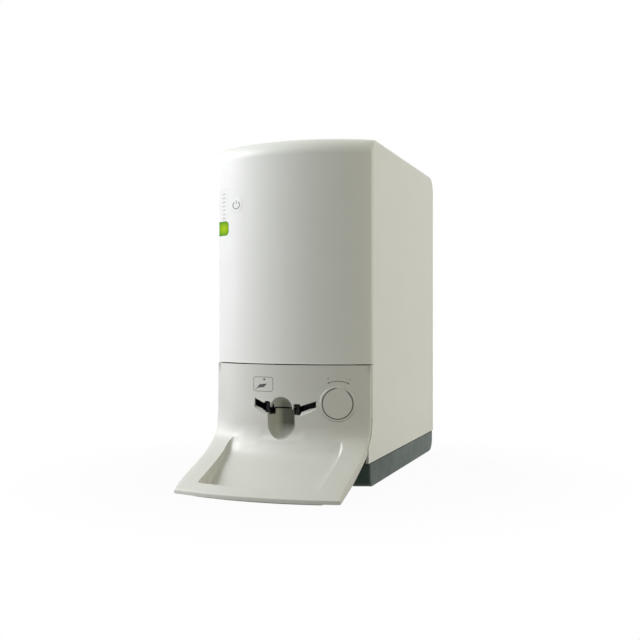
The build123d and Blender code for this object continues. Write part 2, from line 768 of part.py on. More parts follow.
# Plate carriage: a curved bed on two rods, drawn by a lead screw
bed_radius = 60.0
bed_clear = 0.8             # bed under the slot's middle
bed_width = 44.0
bed_length = plate_length + 3.0
bed_front = 10.5            # behind the side panels' front edge
bed_low = 11.5              # underside of the bed's block, under its groove
bed_wing = 3.4              # the bed's sides over its groove
yoke_low = 31.0             # underside of the yoke that holds bushes and nut, under the groove
yoke_length = 26.0
carriage_travel = 88.0
rod_radius = 3.0
rod_spread = 15.5
bush_radius = 5.0
bush_gap = 0.03
bush_length = 12.0
rod_drop = 22.0             # rods and screw under the bed's groove
screw_radius = 4.0
screw_gap = 0.08
nut_radius = 7.0
nut_length = 16.0
nut_flange_radius = 10.0
nut_flange_thick = 3.0
bracket_thick = 3.0
bracket_width = 52.0
bracket_gap = 0.5
bearing_radius = 8.0
motor_face = 35.0
motor_length = 30.0
motor_round = 3.0
motor_shaft_radius = 2.5
coupling_radius = 7.0
coupling_length = 18.0
bed_z = slot_z - bed_clear
axis_z = bed_z - rod_drop
bed_y = (front_y + bed_front, front_y + bed_front + bed_length)
bed_middle_y = (bed_y[0] + bed_y[1]) / 2
front_bracket_y = (bed_y[0] - bracket_gap - bracket_thick, bed_y[0] - bracket_gap)
rear_bracket_y = (bed_y[1] + carriage_travel + 2.0 * bracket_thick,
                  bed_y[1] + carriage_travel + 3.0 * bracket_thick)
motor_bracket_y = (rear_bracket_y[1] + coupling_length + 2 * bracket_thick,
                   rear_bracket_y[1] + coupling_length + 3 * bracket_thick)
rod_places = [(slot_x + side * rod_spread, axis_z) for side in (-1, 1)]

with BuildPart() as plate_carriage:
    slab(around(slot_x, bed_width), bed_y, (bed_z - bed_low, bed_z + bed_wing))
    slab(around(slot_x, bed_width), around(bed_middle_y, yoke_length), (bed_z - yoke_low, bed_z - bed_low))
    rod(bed_radius, (slot_x, bed_y[0] - overrun, bed_z + bed_radius),
        (slot_x, bed_y[1] + overrun, bed_z + bed_radius), mode=Mode.SUBTRACT)
    for x, z in rod_places:
        rod(bush_radius, (x, bed_y[0] - overrun, z), (x, bed_y[1] + overrun, z), mode=Mode.SUBTRACT)
    rod(nut_radius, (slot_x, bed_y[0] - overrun, axis_z), (slot_x, bed_y[1] + overrun, axis_z),
        mode=Mode.SUBTRACT)
finish(plate_carriage, "plate_carriage")

with BuildPart() as carriage_bushes:
    for x, z in rod_places:
        for side in (-1, 1):
            outer_y = bed_middle_y + side * yoke_length / 2
            start, end = sorted((outer_y, outer_y - side * bush_length))
            rod(bush_radius, (x, start, z), (x, end, z))
            rod(rod_radius + bush_gap, (x, start, z), (x, end, z), mode=Mode.SUBTRACT)
finish(carriage_bushes, "carriage_bushes")

with BuildPart() as lead_nut:
    nut_end = bed_middle_y + yoke_length / 2
    rod(nut_radius, (slot_x, nut_end - nut_length, axis_z), (slot_x, nut_end, axis_z))
    rod(nut_flange_radius, (slot_x, nut_end, axis_z), (slot_x, nut_end + nut_flange_thick, axis_z))
    rod(screw_radius + screw_gap, (slot_x, bed_y[0], axis_z), (slot_x, bed_y[1], axis_z), mode=Mode.SUBTRACT)
finish(lead_nut, "lead_nut")

bracket_high_z = axis_z + bearing_radius + 2 * bracket_thick


def bracket(y_span, bores, height_z):
    """An upright sheet with a foot flange, standing on the chassis floor, and its bores."""
    foot_y = (y_span[0], y_span[1] + frame_flange)
    with BuildPart() as upright:
        slab(around(slot_x, bracket_width), y_span, (chassis_top, height_z))
        slab(around(slot_x, bracket_width), foot_y, (chassis_top, chassis_top + bracket_thick))
        for radius, x, z in bores:
            rod(radius, (x, y_span[0] - overrun, z), (x, y_span[1] + overrun, z), mode=Mode.SUBTRACT)
    return upright


rod_bores = [(rod_radius, x, z) for x, z in rod_places]
front_rod_bracket = bracket(front_bracket_y, rod_bores + [(bearing_radius, slot_x, axis_z)], bracket_high_z)
finish(front_rod_bracket, "front_rod_bracket")
rear_rod_bracket = bracket(rear_bracket_y, rod_bores + [(bearing_radius, slot_x, axis_z)], bracket_high_z)
finish(rear_rod_bracket, "rear_rod_bracket")
motor_bracket = bracket(motor_bracket_y, [(bearing_radius, slot_x, axis_z)], axis_z + motor_face / 2)
finish(motor_bracket, "motor_bracket")

with BuildPart() as guide_rods:
    for x, z in rod_places:
        rod(rod_radius, (x, front_bracket_y[0], z), (x, rear_bracket_y[1], z))
finish(guide_rods, "guide_rods")

with BuildPart() as screw_bearings:
    for y_span in (front_bracket_y, rear_bracket_y):
        rod(bearing_radius, (slot_x, y_span[0], axis_z), (slot_x, y_span[1], axis_z))
        rod(screw_radius + screw_gap, (slot_x, y_span[0], axis_z), (slot_x, y_span[1], axis_z),
            mode=Mode.SUBTRACT)
finish(screw_bearings, "screw_bearings")

screw_end_y = rear_bracket_y[1] + coupling_length / 2 + bracket_thick
shaft_start_y = screw_end_y + pipe_gap
with BuildPart() as lead_screw:
    rod(screw_radius, (slot_x, front_bracket_y[0], axis_z), (slot_x, screw_end_y, axis_z))
finish(lead_screw, "lead_screw")

with BuildPart() as motor_shaft:
    rod(motor_shaft_radius, (slot_x, shaft_start_y, axis_z), (slot_x, motor_bracket_y[1] + fit_gap, axis_z))
finish(motor_shaft, "motor_shaft")

coupling_y = (rear_bracket_y[1] + bracket_thick, rear_bracket_y[1] + bracket_thick + coupling_length)
with BuildPart() as shaft_coupling:
    rod(coupling_radius, (slot_x, coupling_y[0], axis_z), (slot_x, coupling_y[1], axis_z))
    rod(screw_radius, (slot_x, coupling_y[0], axis_z), (slot_x, shaft_start_y, axis_z), mode=Mode.SUBTRACT)
    rod(motor_shaft_radius, (slot_x, shaft_start_y, axis_z), (slot_x, coupling_y[1], axis_z),
        mode=Mode.SUBTRACT)
finish(shaft_coupling, "shaft_coupling")

with BuildPart() as stepper_motor:
    motor_y = (motor_bracket_y[1], motor_bracket_y[1] + motor_length)
    slab(around(slot_x, motor_face), motor_y, around(axis_z, motor_face))
    fillet(stepper_motor.edges().filter_by(Axis.Y), motor_round)
    rod(motor_shaft_radius + 2 * fit_gap, (slot_x, motor_y[0], axis_z), (slot_x, motor_y[0] + overrun, axis_z),
        mode=Mode.SUBTRACT)
finish(stepper_motor, "stepper_motor")

# Home sensor: a fork on the chassis floor, and a flag on the carriage that passes through it
flag_reach = 2.0            # outside the carriage's yoke
flag_thick = 1.0
flag_width = 8.0
flag_drop = 6.0             # below the yoke
flag_arm = 4.0
fork_gap = 1.0              # on each side of the flag
fork_wall = 2.0
fork_length = 12.0
fork_top_gap = 1.5          # under the yoke
flag_x = slot_x + bed_width / 2 + flag_reach - flag_thick / 2
flag_low_z = bed_z - yoke_low - flag_drop
with BuildPart() as home_flag:
    slab((slot_x + bed_width / 2, flag_x + flag_thick / 2), around(bed_middle_y, flag_width),
         (bed_z - yoke_low + flag_arm, bed_z - yoke_low + 2 * flag_arm))
    flag_top_z = bed_z - yoke_low + 2 * flag_arm
    slab(around(flag_x, flag_thick), around(bed_middle_y, flag_width), (flag_low_z, flag_top_z))
finish(home_flag, "home_flag")

with BuildPart() as home_sensor:
    fork_top = bed_z - yoke_low - fork_top_gap
    slab(around(flag_x, flag_thick + 2 * fork_gap + 2 * fork_wall), around(bed_middle_y, fork_length),
         (chassis_top, fork_top))
    slab(around(flag_x, flag_thick + 2 * fork_gap), around(bed_middle_y, fork_length + 2 * overrun),
         (flag_low_z - fork_wall, fork_top + overrun), mode=Mode.SUBTRACT)
finish(home_sensor, "home_sensor")

# Plate size selector: a knob whose crank pin moves two plate guides through a reversing lever.
# Angles are in degrees, clockwise from the top as seen from the front.
knob_angle = 16.0           # pointer, as the photograph shows it
swing_back = 39.0           # from there to the mark for the narrow plates
swing_on = 14.0             # and to the mark for the wide ones
knob_diameter = 29.2
knob_proud = 1.5
knob_depth = 4.5
knob_point = 17.4           # radius of the pointer's tip
knob_point_width = 1.4
point_thick = 1.0
hub_diameter = 12.0
knob_wall = 1.5
shaft_radius = 3.0
shaft_gap = 0.06
cup_inner = 31.2
cup_depth = 9.0
cup_floor = 2.5
cup_proud = 0.5
cup_flange_diameter = 41.0
cup_flange_depth = 4.5      # clears the panel's curve
cup_flange_thick = 1.5
ring_radius = 5.0
ring_thick = 0.8
crank_depth = 11.5
crank_thick = 2.5
crank_radius = 7.0
crank_pin_radius = 1.25
pin_reach = 24.0            # end of the crank pin behind the panel's face
half_swing = (swing_back + swing_on) / 2
crank_angle = half_swing - swing_on
guide_travel = (plate_width - narrow_plate_width) / 2
knob_slant = knob_x / bow_radius
knob_cos = sqrt(1 - knob_slant**2)
crank_throw = guide_travel * knob_cos / (2 * sin(radians(half_swing)))
tight = (Align.CENTER, Align.CENTER, Align.MAX)


def on_knob(depth, across=0, up=0):
    """A place on the knob's plane, depth behind the panel's face."""
    return Location(knob_plane) * Location((across, up, -depth))


with BuildPart() as knob_bezel:
    with Locations(on_knob(-cup_proud)):
        Cylinder(bezel_diameter / 2, cup_depth + cup_proud, align=tight)
        Cylinder(cup_inner / 2, cup_depth - cup_floor + cup_proud, align=tight, mode=Mode.SUBTRACT)
    chamfer(knob_bezel.edges().filter_by(GeomType.CIRCLE).sort_by(Axis.Y)[0], cup_proud)
    with Locations(on_knob(cup_flange_depth)):
        Cylinder(cup_flange_diameter / 2, cup_flange_thick, align=tight)
        Cylinder(cup_inner / 2, cup_flange_thick, align=tight, mode=Mode.SUBTRACT)
    with Locations(on_knob(0)):
        Cylinder(shaft_radius + shaft_gap, cup_depth + overrun, align=tight, mode=Mode.SUBTRACT)
finish(knob_bezel, "knob_bezel")

point_half = degrees(asin(knob_point_width / 2 / knob_point))
tangent_half = degrees(atan2(sqrt(knob_point**2 - (knob_diameter / 2) ** 2), knob_diameter / 2))


def round_place(radius, angle):
    """A place at a radius and a clockwise angle from the top."""
    return (radius * sin(radians(angle)), radius * cos(radians(angle)))


with BuildPart() as selector_knob:
    with Locations(on_knob(-knob_proud)):
        Cylinder(knob_diameter / 2, knob_depth + knob_proud, align=tight)
    with BuildSketch(Plane(on_knob(-knob_proud))):
        with BuildLine():
            Polyline(
                (0, 0), round_place(knob_diameter / 2, knob_angle - tangent_half),
                round_place(knob_point, knob_angle - point_half),
                round_place(knob_point, knob_angle + point_half),
                round_place(knob_diameter / 2, knob_angle + tangent_half), close=True,
            )
        make_face()
    extrude(amount=-point_thick)
    with Locations(on_knob(knob_wall)):
        Cylinder(knob_diameter / 2 - knob_wall, knob_depth, align=tight, mode=Mode.SUBTRACT)
        Cylinder(hub_diameter / 2, knob_depth - knob_wall, align=tight)
    with Locations(on_knob(knob_wall)):
        Cylinder(shaft_radius, knob_depth, align=tight, mode=Mode.SUBTRACT)
finish(selector_knob, "selector_knob")

with BuildPart() as selector_shaft:
    with Locations(on_knob(knob_wall)):
        Cylinder(shaft_radius, crank_depth - knob_wall, align=tight)
    with Locations(on_knob(crank_depth)):
        Cylinder(crank_radius, crank_thick, align=tight)
    pin_across, pin_up = round_place(crank_throw, crank_angle)
    with Locations(on_knob(crank_depth, pin_across, pin_up)):
        Cylinder(crank_pin_radius, pin_reach - crank_depth, align=tight)
finish(selector_shaft, "selector_shaft")

with BuildPart() as shaft_ring:
    with Locations(on_knob(cup_depth + fit_gap)):
        Cylinder(ring_radius, ring_thick, align=tight)
        Cylinder(shaft_radius, ring_thick, align=tight, mode=Mode.SUBTRACT)
finish(shaft_ring, "shaft_ring")

# The guides' bars slide on studs of a carrier that straddles the plate path
bar_thick = 3.0
guide_clear = 0.4           # between a guide and the plate's edge
jaw_width = 4.0
jaw_reach = 5.7             # jaw under and over the slot
jaw_lip = 1.0               # jaw's lips over and under the plate's edge
jaw_opening = 3.0
jaw_gap = 1.0               # jaw's front behind the panel's skin
arm_drop = 3.2              # underside of the jaws' arms over the slot
right_bar_low = 10.6        # over the slot
right_bar_high = 22.1
left_bar_low = 34.1
left_bar_high = 43.1
pin_slot_rise = 18.1        # right bar's pin slot, over the slot
lever_arm = 10.0
lever_pin_radius = 1.2
pin_slot_play = 0.4
slot_play = 0.5
crank_slot_wall = 7.5       # right bar's end from its crank slot's middle
stud_radius = 1.5
stud_gap = 0.3
right_stud_x = (21.0, 36.0)
left_stud_x = (-14.0, 8.0)
stud_rise = 18.1            # right bar's studs over the slot
left_stud_rise = 38.6
clip_radius = 3.0
clip_thick = 0.8
lever_thick = 2.0
lever_half_width = 3.5
pivot_radius = 2.0
pivot_gap = 0.05
carrier_thick = 3.0
carrier_left_inset = 30.5   # from the sides
carrier_right_inset = 18.5
carrier_leg = 8.0
carrier_low = 6.0           # its beam's underside over the slot
carrier_high = 44.5
carrier_left = carrier_left_inset - half_width
carrier_right = half_width - carrier_right_inset
carrier_y = (chassis_y[0], chassis_y[0] + carrier_thick)
bar_y = (carrier_y[0] - fit_gap - bar_thick, carrier_y[0] - fit_gap)
clip_y = (bar_y[0] - fit_gap - clip_thick, bar_y[0] - fit_gap)
lever_y = (bar_y[0] - fit_gap - lever_thick, bar_y[0] - fit_gap)
lever_clip_y = (lever_y[0] - fit_gap - clip_thick, lever_y[0] - fit_gap)
guide_rest = plate_width / 2 + guide_clear - guide_travel * swing_on / (2 * half_swing)
past_wide = guide_travel * swing_on / (2 * half_swing)
past_narrow = guide_travel - past_wide
slot_shift = (past_narrow - past_wide) / 2
pivot_z = slot_z + pin_slot_rise + lever_arm
lever_angle = degrees(asin(slot_shift / lever_arm))
crank_side = crank_throw * sin(radians(crank_angle))
pin_run = bar_y[0] + bar_thick / 2 - knob_plane.origin.Y - crank_side * knob_slant
pin_x = knob_x + crank_throw * sin(radians(crank_angle)) * knob_cos - pin_run * knob_slant / knob_cos
pin_z = knob_z + crank_throw * cos(radians(crank_angle))
right_bar_end = pin_x + crank_slot_wall
crank_slot_width = 2 * (crank_pin_radius + slot_play) + bar_thick * knob_slant / knob_cos
crank_slot_high = 2 * (crank_pin_radius + slot_play) + crank_throw * (1 - cos(radians(half_swing)))


def plate_jaw(side):
    """The C-shaped jaw of one guide and its arm up to the bar, in the piece being built."""
    face_x = slot_x + side * guide_rest
    tip_x = face_x - side * jaw_lip
    outer_x = tip_x + side * jaw_width
    jaw_y = (jaw_room_y + jaw_gap, bar_y[1])
    slab(sorted((tip_x, outer_x)), jaw_y, around(slot_z, 2 * jaw_reach))
    slab(sorted((tip_x - side * overrun, face_x)), (jaw_y[0] - overrun, jaw_y[1] + overrun),
         around(slot_z, jaw_opening), mode=Mode.SUBTRACT)
    slab(
        sorted((tip_x - side * overrun, outer_x + side * overrun)),
        (bowl_back_y + jaw_gap, jaw_y[1] + overrun), (slot_z - jaw_reach - overrun, slot_z + arm_drop),
        mode=Mode.SUBTRACT,
    )
    return sorted((tip_x, outer_x))


def bar_slots(xs, rise, shift):
    """Slots for the studs in the piece being built."""
    radius = stud_radius + stud_gap
    reach = guide_travel / 2 + slot_play
    cut_y = (bar_y[0] - overrun, bar_y[1] + overrun)
    z = slot_z + rise
    for x in xs:
        slab(around(x + shift, 2 * reach), cut_y, around(z, 2 * radius), mode=Mode.SUBTRACT)
        for end_x in around(x + shift, 2 * reach):
            rod(radius, (end_x, cut_y[0], z), (end_x, cut_y[1], z), mode=Mode.SUBTRACT)


def pin_slot(x, z, width, high):
    """An upright slot for a pin in the piece being built."""
    slab(around(x, width), (bar_y[0] - overrun, bar_y[1] + overrun), around(z, high), mode=Mode.SUBTRACT)


lever_slot_width = 2 * (lever_pin_radius + pin_slot_play)
lever_slot_high = lever_slot_width + 2 * pin_slot_play
lower_pin = (slot_x + slot_shift, pivot_z - lever_arm * cos(radians(lever_angle)))
upper_pin = (slot_x - slot_shift, pivot_z + lever_arm * cos(radians(lever_angle)))
with BuildPart() as right_plate_guide:
    jaw_x = plate_jaw(1)
    slab(jaw_x, bar_y, (slot_z + arm_drop, slot_z + right_bar_high))
    slab((slot_x - lever_half_width, right_bar_end), bar_y, (slot_z + right_bar_low, slot_z + right_bar_high))
    slab((pin_x - 2 * lever_half_width, right_bar_end), bar_y, (slot_z + carrier_low, slot_z + right_bar_low))
    bar_slots(right_stud_x, stud_rise, slot_shift)
    pin_slot(*lower_pin, lever_slot_width, lever_slot_high)
    pin_slot(pin_x, pin_z, crank_slot_width, crank_slot_high)
finish(right_plate_guide, "right_plate_guide")

with BuildPart() as left_plate_guide:
    jaw_x = plate_jaw(-1)
    slab(jaw_x, bar_y, (slot_z + arm_drop, slot_z + left_bar_high))
    left_bar_x = (jaw_x[0], left_stud_x[1] + 2 * guide_travel)
    slab(left_bar_x, bar_y, (slot_z + left_bar_low, slot_z + left_bar_high))
    bar_slots(left_stud_x, left_stud_rise, -slot_shift)
    pin_slot(*upper_pin, lever_slot_width, lever_slot_high)
finish(left_plate_guide, "left_plate_guide")

with BuildPart() as reversing_lever:
    with BuildSketch(Plane.XZ.offset(-lever_y[1])):
        with Locations(Location((slot_x, pivot_z), 90 + lever_angle)):
            SlotOverall(2 * (lever_arm + lever_half_width), 2 * lever_half_width)
    extrude(amount=lever_thick)
    rod(pivot_radius + pivot_gap, (slot_x, lever_y[0] - overrun, pivot_z), (slot_x, bar_y[1], pivot_z),
        mode=Mode.SUBTRACT)
    for x, z in (lower_pin, upper_pin):
        rod(lever_pin_radius, (x, lever_y[0], z), (x, bar_y[1] - fit_gap, z))
finish(reversing_lever, "reversing_lever")

stud_places = [(x, slot_z + stud_rise) for x in right_stud_x]
stud_places += [(x, slot_z + left_stud_rise) for x in left_stud_x]
with BuildPart() as guide_carrier:
    slab((carrier_left, carrier_right), carrier_y, (chassis_top, slot_z + carrier_high))
    slab(
        (carrier_left + carrier_leg, carrier_right - carrier_leg),
        (carrier_y[0] - overrun, carrier_y[1] + overrun), (0, slot_z + carrier_low), mode=Mode.SUBTRACT,
    )
    with BuildSketch(Plane.XZ.offset(-carrier_y[1] - overrun)):
        with Locations((pin_x, pin_z)):
            RectangleRounded(2 * crank_radius, 2 * crank_radius, stud_radius)
        for x, z in (lower_pin, upper_pin):
            with Locations((slot_x, z)):
                RectangleRounded(2 * lever_half_width + guide_travel, 2 * lever_half_width, stud_radius)
    extrude(amount=carrier_thick + 2 * overrun, mode=Mode.SUBTRACT)
    for x_span in ((carrier_left, carrier_left + carrier_leg), (carrier_right - carrier_leg, carrier_right)):
        slab(x_span, (carrier_y[0], carrier_y[1] + frame_flange), (chassis_top, chassis_top + carrier_thick))
    for x, z in stud_places:
        rod(stud_radius, (x, clip_y[0], z), (x, carrier_y[1], z))
    rod(pivot_radius, (slot_x, lever_clip_y[0], pivot_z), (slot_x, carrier_y[1], pivot_z))
finish(guide_carrier, "guide_carrier")

with BuildPart() as guide_clips:
    for x, z in stud_places:
        rod(clip_radius, (x, clip_y[0], z), (x, clip_y[1], z))
        rod(stud_radius, (x, clip_y[0], z), (x, clip_y[1], z), mode=Mode.SUBTRACT)
    rod(clip_radius, (slot_x, lever_clip_y[0], pivot_z), (slot_x, lever_clip_y[1], pivot_z))
    pivot_ends = [(slot_x, y, pivot_z) for y in lever_clip_y]
    rod(pivot_radius, *pivot_ends, mode=Mode.SUBTRACT)
finish(guide_clips, "guide_clips")

# Optics on the deck: laser, spinning mirror and a fold mirror over the slit
beam_rise = 16.0            # above the deck
rotor_run = 80.0            # behind the scan line
rotor_radius = 18.0
rotor_thick = 8.0
rotor_hub_radius = 6.0
rotor_hub_high = 2.0
rotor_shaft_radius = 2.0
rotor_shaft_gap = 0.05
rotor_y = scan_y + rotor_run
rotor_shaft_length = 7.0
rotor_sides = 6
mirror_motor_radius = 14.0
mirror_motor_plate = 40.0
mirror_motor_plate_thick = 2.0
rotor_gap = 0.8
laser_radius = 6.0
laser_x = (18.0, 58.0)
laser_clamp_x = (28.0, 44.0)
laser_clamp_width = 20.0
laser_clamp_high = 8.0      # over the beam
laser_bore = 2.0
laser_offset = 14.0         # beam ahead of the spinning mirror's axis
fold_width = 60.0
fold_high = 18.0
fold_thick = 3.0
fold_sheet = 3.0
fold_foot = 14.0
deck_top = deck_z + deck_thick
beam_z = deck_top + beam_rise
rotor_low_z = beam_z - rotor_thick / 2

with BuildPart() as mirror_motor:
    slab(around(slot_x, mirror_motor_plate), around(rotor_y, mirror_motor_plate),
         (deck_top, deck_top + mirror_motor_plate_thick))
    rod(mirror_motor_radius, (slot_x, rotor_y, deck_top), (slot_x, rotor_y, rotor_low_z - rotor_gap))
    rod(rotor_shaft_radius + rotor_shaft_gap, (slot_x, rotor_y, rotor_low_z - rotor_gap - rotor_shaft_length),
        (slot_x, rotor_y, beam_z), mode=Mode.SUBTRACT)
finish(mirror_motor, "mirror_motor")

with BuildPart() as mirror_rotor:
    with BuildSketch(Plane.XY.offset(rotor_low_z)):
        with Locations((slot_x, rotor_y)):
            RegularPolygon(rotor_radius, rotor_sides)
    extrude(amount=rotor_thick)
    rotor_foot = (slot_x, rotor_y, rotor_low_z)
    rod(rotor_hub_radius, rotor_foot, (slot_x, rotor_y, rotor_low_z + rotor_thick + rotor_hub_high))
    rod(rotor_shaft_radius, (slot_x, rotor_y, rotor_low_z - rotor_shaft_length), rotor_foot)
finish(mirror_rotor, "mirror_rotor")

laser_y = rotor_y - laser_offset
with BuildPart() as laser_module:
    rod(laser_radius, (laser_x[0], laser_y, beam_z), (laser_x[1], laser_y, beam_z))
    laser_face = (laser_x[0], laser_y, beam_z)
    rod(laser_bore, laser_face, (laser_x[0] + laser_bore, laser_y, beam_z), mode=Mode.SUBTRACT)
finish(laser_module, "laser_module")

with BuildPart() as laser_clamp:
    slab(laser_clamp_x, around(laser_y, laser_clamp_width), (deck_top, beam_z + laser_clamp_high))
    rod(
        laser_radius, (laser_clamp_x[0] - overrun, laser_y, beam_z),
        (laser_clamp_x[1] + overrun, laser_y, beam_z), mode=Mode.SUBTRACT,
    )
finish(laser_clamp, "laser_clamp")


def leaning(along, behind):
    """A place in the fold mirror's section: along its face upwards, and behind its face."""
    lean = radians(45)
    return (scan_y + along * cos(lean) - behind * sin(lean), beam_z + along * sin(lean) + behind * cos(lean))


with BuildPart() as fold_mirror:
    with BuildSketch(Plane.YZ.offset(slot_x - fold_width / 2)):
        with BuildLine():
            Polyline(
                leaning(-fold_high / 2, 0), leaning(fold_high / 2, 0), leaning(fold_high / 2, fold_thick),
                leaning(-fold_high / 2, fold_thick), close=True,
            )
        make_face()
    extrude(amount=fold_width)
finish(fold_mirror, "fold_mirror")

with BuildPart() as fold_mirror_bracket:
    low_back = leaning(-fold_high / 2, fold_thick)
    low_far = leaning(-fold_high / 2, fold_thick + fold_sheet)
    with BuildSketch(Plane.YZ.offset(slot_x - fold_width / 2)):
        with BuildLine():
            Polyline(
                low_back, leaning(fold_high / 2, fold_thick), leaning(fold_high / 2, fold_thick + fold_sheet),
                low_far, (low_far[0], deck_top + fold_sheet), (low_far[0] - fold_foot, deck_top + fold_sheet),
                (low_far[0] - fold_foot, deck_top), (low_back[0], deck_top), close=True,
            )
        make_face()
    extrude(amount=fold_width)
finish(fold_mirror_bracket, "fold_mirror_bracket")

# Light collector and photomultiplier over the scan line, held by a beam between the side frames
collector_low = 7.0         # over the slot
collector_offset = 6.5      # behind the scan line
collector_width = 44.0
collector_thick = 5.0
collector_end = 20.0
tube_radius = 14.0
tube_offset = 21.0          # behind the scan line
tube_low = 52.0             # over the slot
tube_top_gap = 34.6         # under the deck
clamp_wall = 3.0
clamp_high = 9.0
beam_width = 10.0
tube_y = scan_y + tube_offset
tube_z = slot_z + tube_low
tube_length = deck_z - tube_top_gap - tube_z
frame_gap_x = frame_x - fit_gap
with BuildPart() as light_collector:
    with BuildSketch(Plane.XY.offset(slot_z + collector_low)):
        with Locations((slot_x, scan_y + collector_offset)):
            Rectangle(collector_width, collector_thick)
    with BuildSketch(Plane.XY.offset(tube_z - fit_gap)):
        with Locations((slot_x, tube_y)):
            Rectangle(collector_end, collector_end)
    loft()
finish(light_collector, "light_collector")

with BuildPart() as photomultiplier:
    rod(tube_radius, (slot_x, tube_y, tube_z), (slot_x, tube_y, tube_z + tube_length))
finish(photomultiplier, "photomultiplier")

with BuildPart() as collector_bracket:
    slab(around(0, 2 * frame_gap_x), around(tube_y, beam_width), (tube_z, tube_z + clamp_high))
    rod(tube_radius + clamp_wall, (slot_x, tube_y, tube_z), (slot_x, tube_y, tube_z + clamp_high))
    rod(tube_radius, (slot_x, tube_y, tube_z - overrun), (slot_x, tube_y, tube_z + clamp_high + overrun),
        mode=Mode.SUBTRACT)
finish(collector_bracket, "collector_bracket")

# Erasing lamps hang behind the scan line
erase_offset = 44.0         # behind the scan line
erase_length = 26.0
erase_width = 50.0
erase_rise = 25.0           # over the slot
erase_arm_rise = 60.0
erase_sheet = 2.0
erase_lamp_pitch = 12.0
erase_lamp_rows = (-0.5, 0.5)
erase_lamp_columns = (-1.5, -0.5, 0.5, 1.5)
erase_y = around(scan_y + erase_offset, erase_length)
erase_z = slot_z + erase_rise
with BuildPart() as erase_lamp_bracket:
    slab(around(0, 2 * frame_gap_x), erase_y, (erase_z, erase_z + erase_sheet))
    for side in (-1, 1):
        slab(sorted((side * frame_gap_x, side * (frame_gap_x - erase_sheet))), erase_y,
             (erase_z, slot_z + erase_arm_rise))
finish(erase_lamp_bracket, "erase_lamp_bracket")

with BuildPart() as erase_lamp:
    slab(around(slot_x, erase_width), erase_y, (erase_z - board_thick, erase_z))
    for column in erase_lamp_columns:
        for row in erase_lamp_rows:
            with Locations((slot_x + column * erase_lamp_pitch, scan_y + erase_offset + row * erase_lamp_pitch,
                            erase_z - board_thick)):
                Box(lamp_size, lamp_size, lamp_high, align=(Align.CENTER, Align.CENTER, Align.MAX))
finish(erase_lamp, "erase_lamp")

# Rear panel with the main board behind it, and the sockets that pass through it
panel_thick = 3.0
panel_lap = 2.5
socket_proud = 0.6
main_board_depth = 24.0     # ahead of the rear face
main_board_half_width = 50.0
main_board_low = 44.0       # above the base's underside
main_board_high = 186.0
standoff_radius = 3.0
standoff_inset = 6.0
inlet_x = -34.0
inlet_width = 9.0
inlet_high = 11.0
inlet_bore = 6.4
inlet_bore_depth = 9.5
inlet_pin = 2.0
data_x = -8.0
data_width = 12.0
data_high = 11.0
data_mouth_width = 8.6
data_mouth_high = 7.8
data_depth = 9.0
data_tongue_width = 5.6
data_tongue_high = 3.2
socket_height = 58.0
chip_places = ((-20.0, 120.0, 24.0, 24.0, 2.4), (22.0, 138.0, 14.0, 14.0, 1.8), (26.0, 96.0, 22.0, 12.0, 9.0))
panel_y_span = (rear_y - cover_wall - fit_gap - panel_lap, rear_y - cover_wall - fit_gap)
board_rear_y = rear_y - main_board_depth + board_thick
socket_y = (board_rear_y, rear_y - cover_wall + panel_thick / 2 + socket_proud)
socket_z = base_z + socket_height
with BuildPart() as rear_panel:
    slab(around(0, 2 * (opening_half_width + panel_margin)), panel_y_span,
         (base_z + opening_low_height - panel_margin, base_z + opening_high_height + panel_margin))
    with BuildSketch(Plane.XZ.offset(-(rear_y - cover_wall + panel_thick / 2))):
        rear_sketch(fit_gap)
    extrude(amount=panel_thick / 2 + fit_gap)
    for x, width, high in ((inlet_x, inlet_width, inlet_high), (data_x, data_width, data_high)):
        slab(
            around(x, width + 2 * fit_gap), (panel_y_span[0] - overrun, rear_y),
            around(socket_z, high + 2 * fit_gap), mode=Mode.SUBTRACT,
        )
    for x, z in panel_screw_places:
        rod(
            screw_diameter / 2 + pipe_gap, (x, panel_y_span[0] - overrun, z), (x, rear_y, z),
            mode=Mode.SUBTRACT,
        )
finish(rear_panel, "rear_panel")

with BuildPart() as rear_panel_screws:
    for x, z in panel_screw_places:
        rod(screw_head_diameter / 2, (x, rear_y - screw_head_high, z), (x, rear_y - pipe_gap, z))
        rod(screw_diameter / 2, (x, panel_y_span[0] - screw_head_high, z), (x, rear_y - screw_head_high, z))
finish(rear_panel_screws, "rear_panel_screws")

with BuildPart() as main_board:
    slab(around(0, 2 * main_board_half_width), (board_rear_y - board_thick, board_rear_y),
         (base_z + main_board_low, base_z + main_board_high))
    for x, height, width, high, thick in chip_places:
        slab(around(x, width), (board_rear_y - board_thick - thick, board_rear_y - board_thick),
             around(base_z + height, high))
finish(main_board, "main_board")

standoff_places = [
    (side * (main_board_half_width - standoff_inset), base_z + height)
    for side in (-1, 1)
    for height in (main_board_low + standoff_inset, main_board_high - standoff_inset)
]
with BuildPart() as board_standoffs:
    for x, z in standoff_places:
        rod(standoff_radius, (x, board_rear_y, z), (x, panel_y_span[0], z))
finish(board_standoffs, "board_standoffs")

with BuildPart() as dc_inlet:
    slab(around(inlet_x, inlet_width), socket_y, around(socket_z, inlet_high))
    bore_foot = (inlet_x, socket_y[1] - inlet_bore_depth, socket_z)
    rod(inlet_bore / 2, bore_foot, (inlet_x, socket_y[1] + overrun, socket_z), mode=Mode.SUBTRACT)
    rod(inlet_pin / 2, bore_foot, (inlet_x, socket_y[1] - inlet_pin / 2, socket_z))
finish(dc_inlet, "dc_inlet")

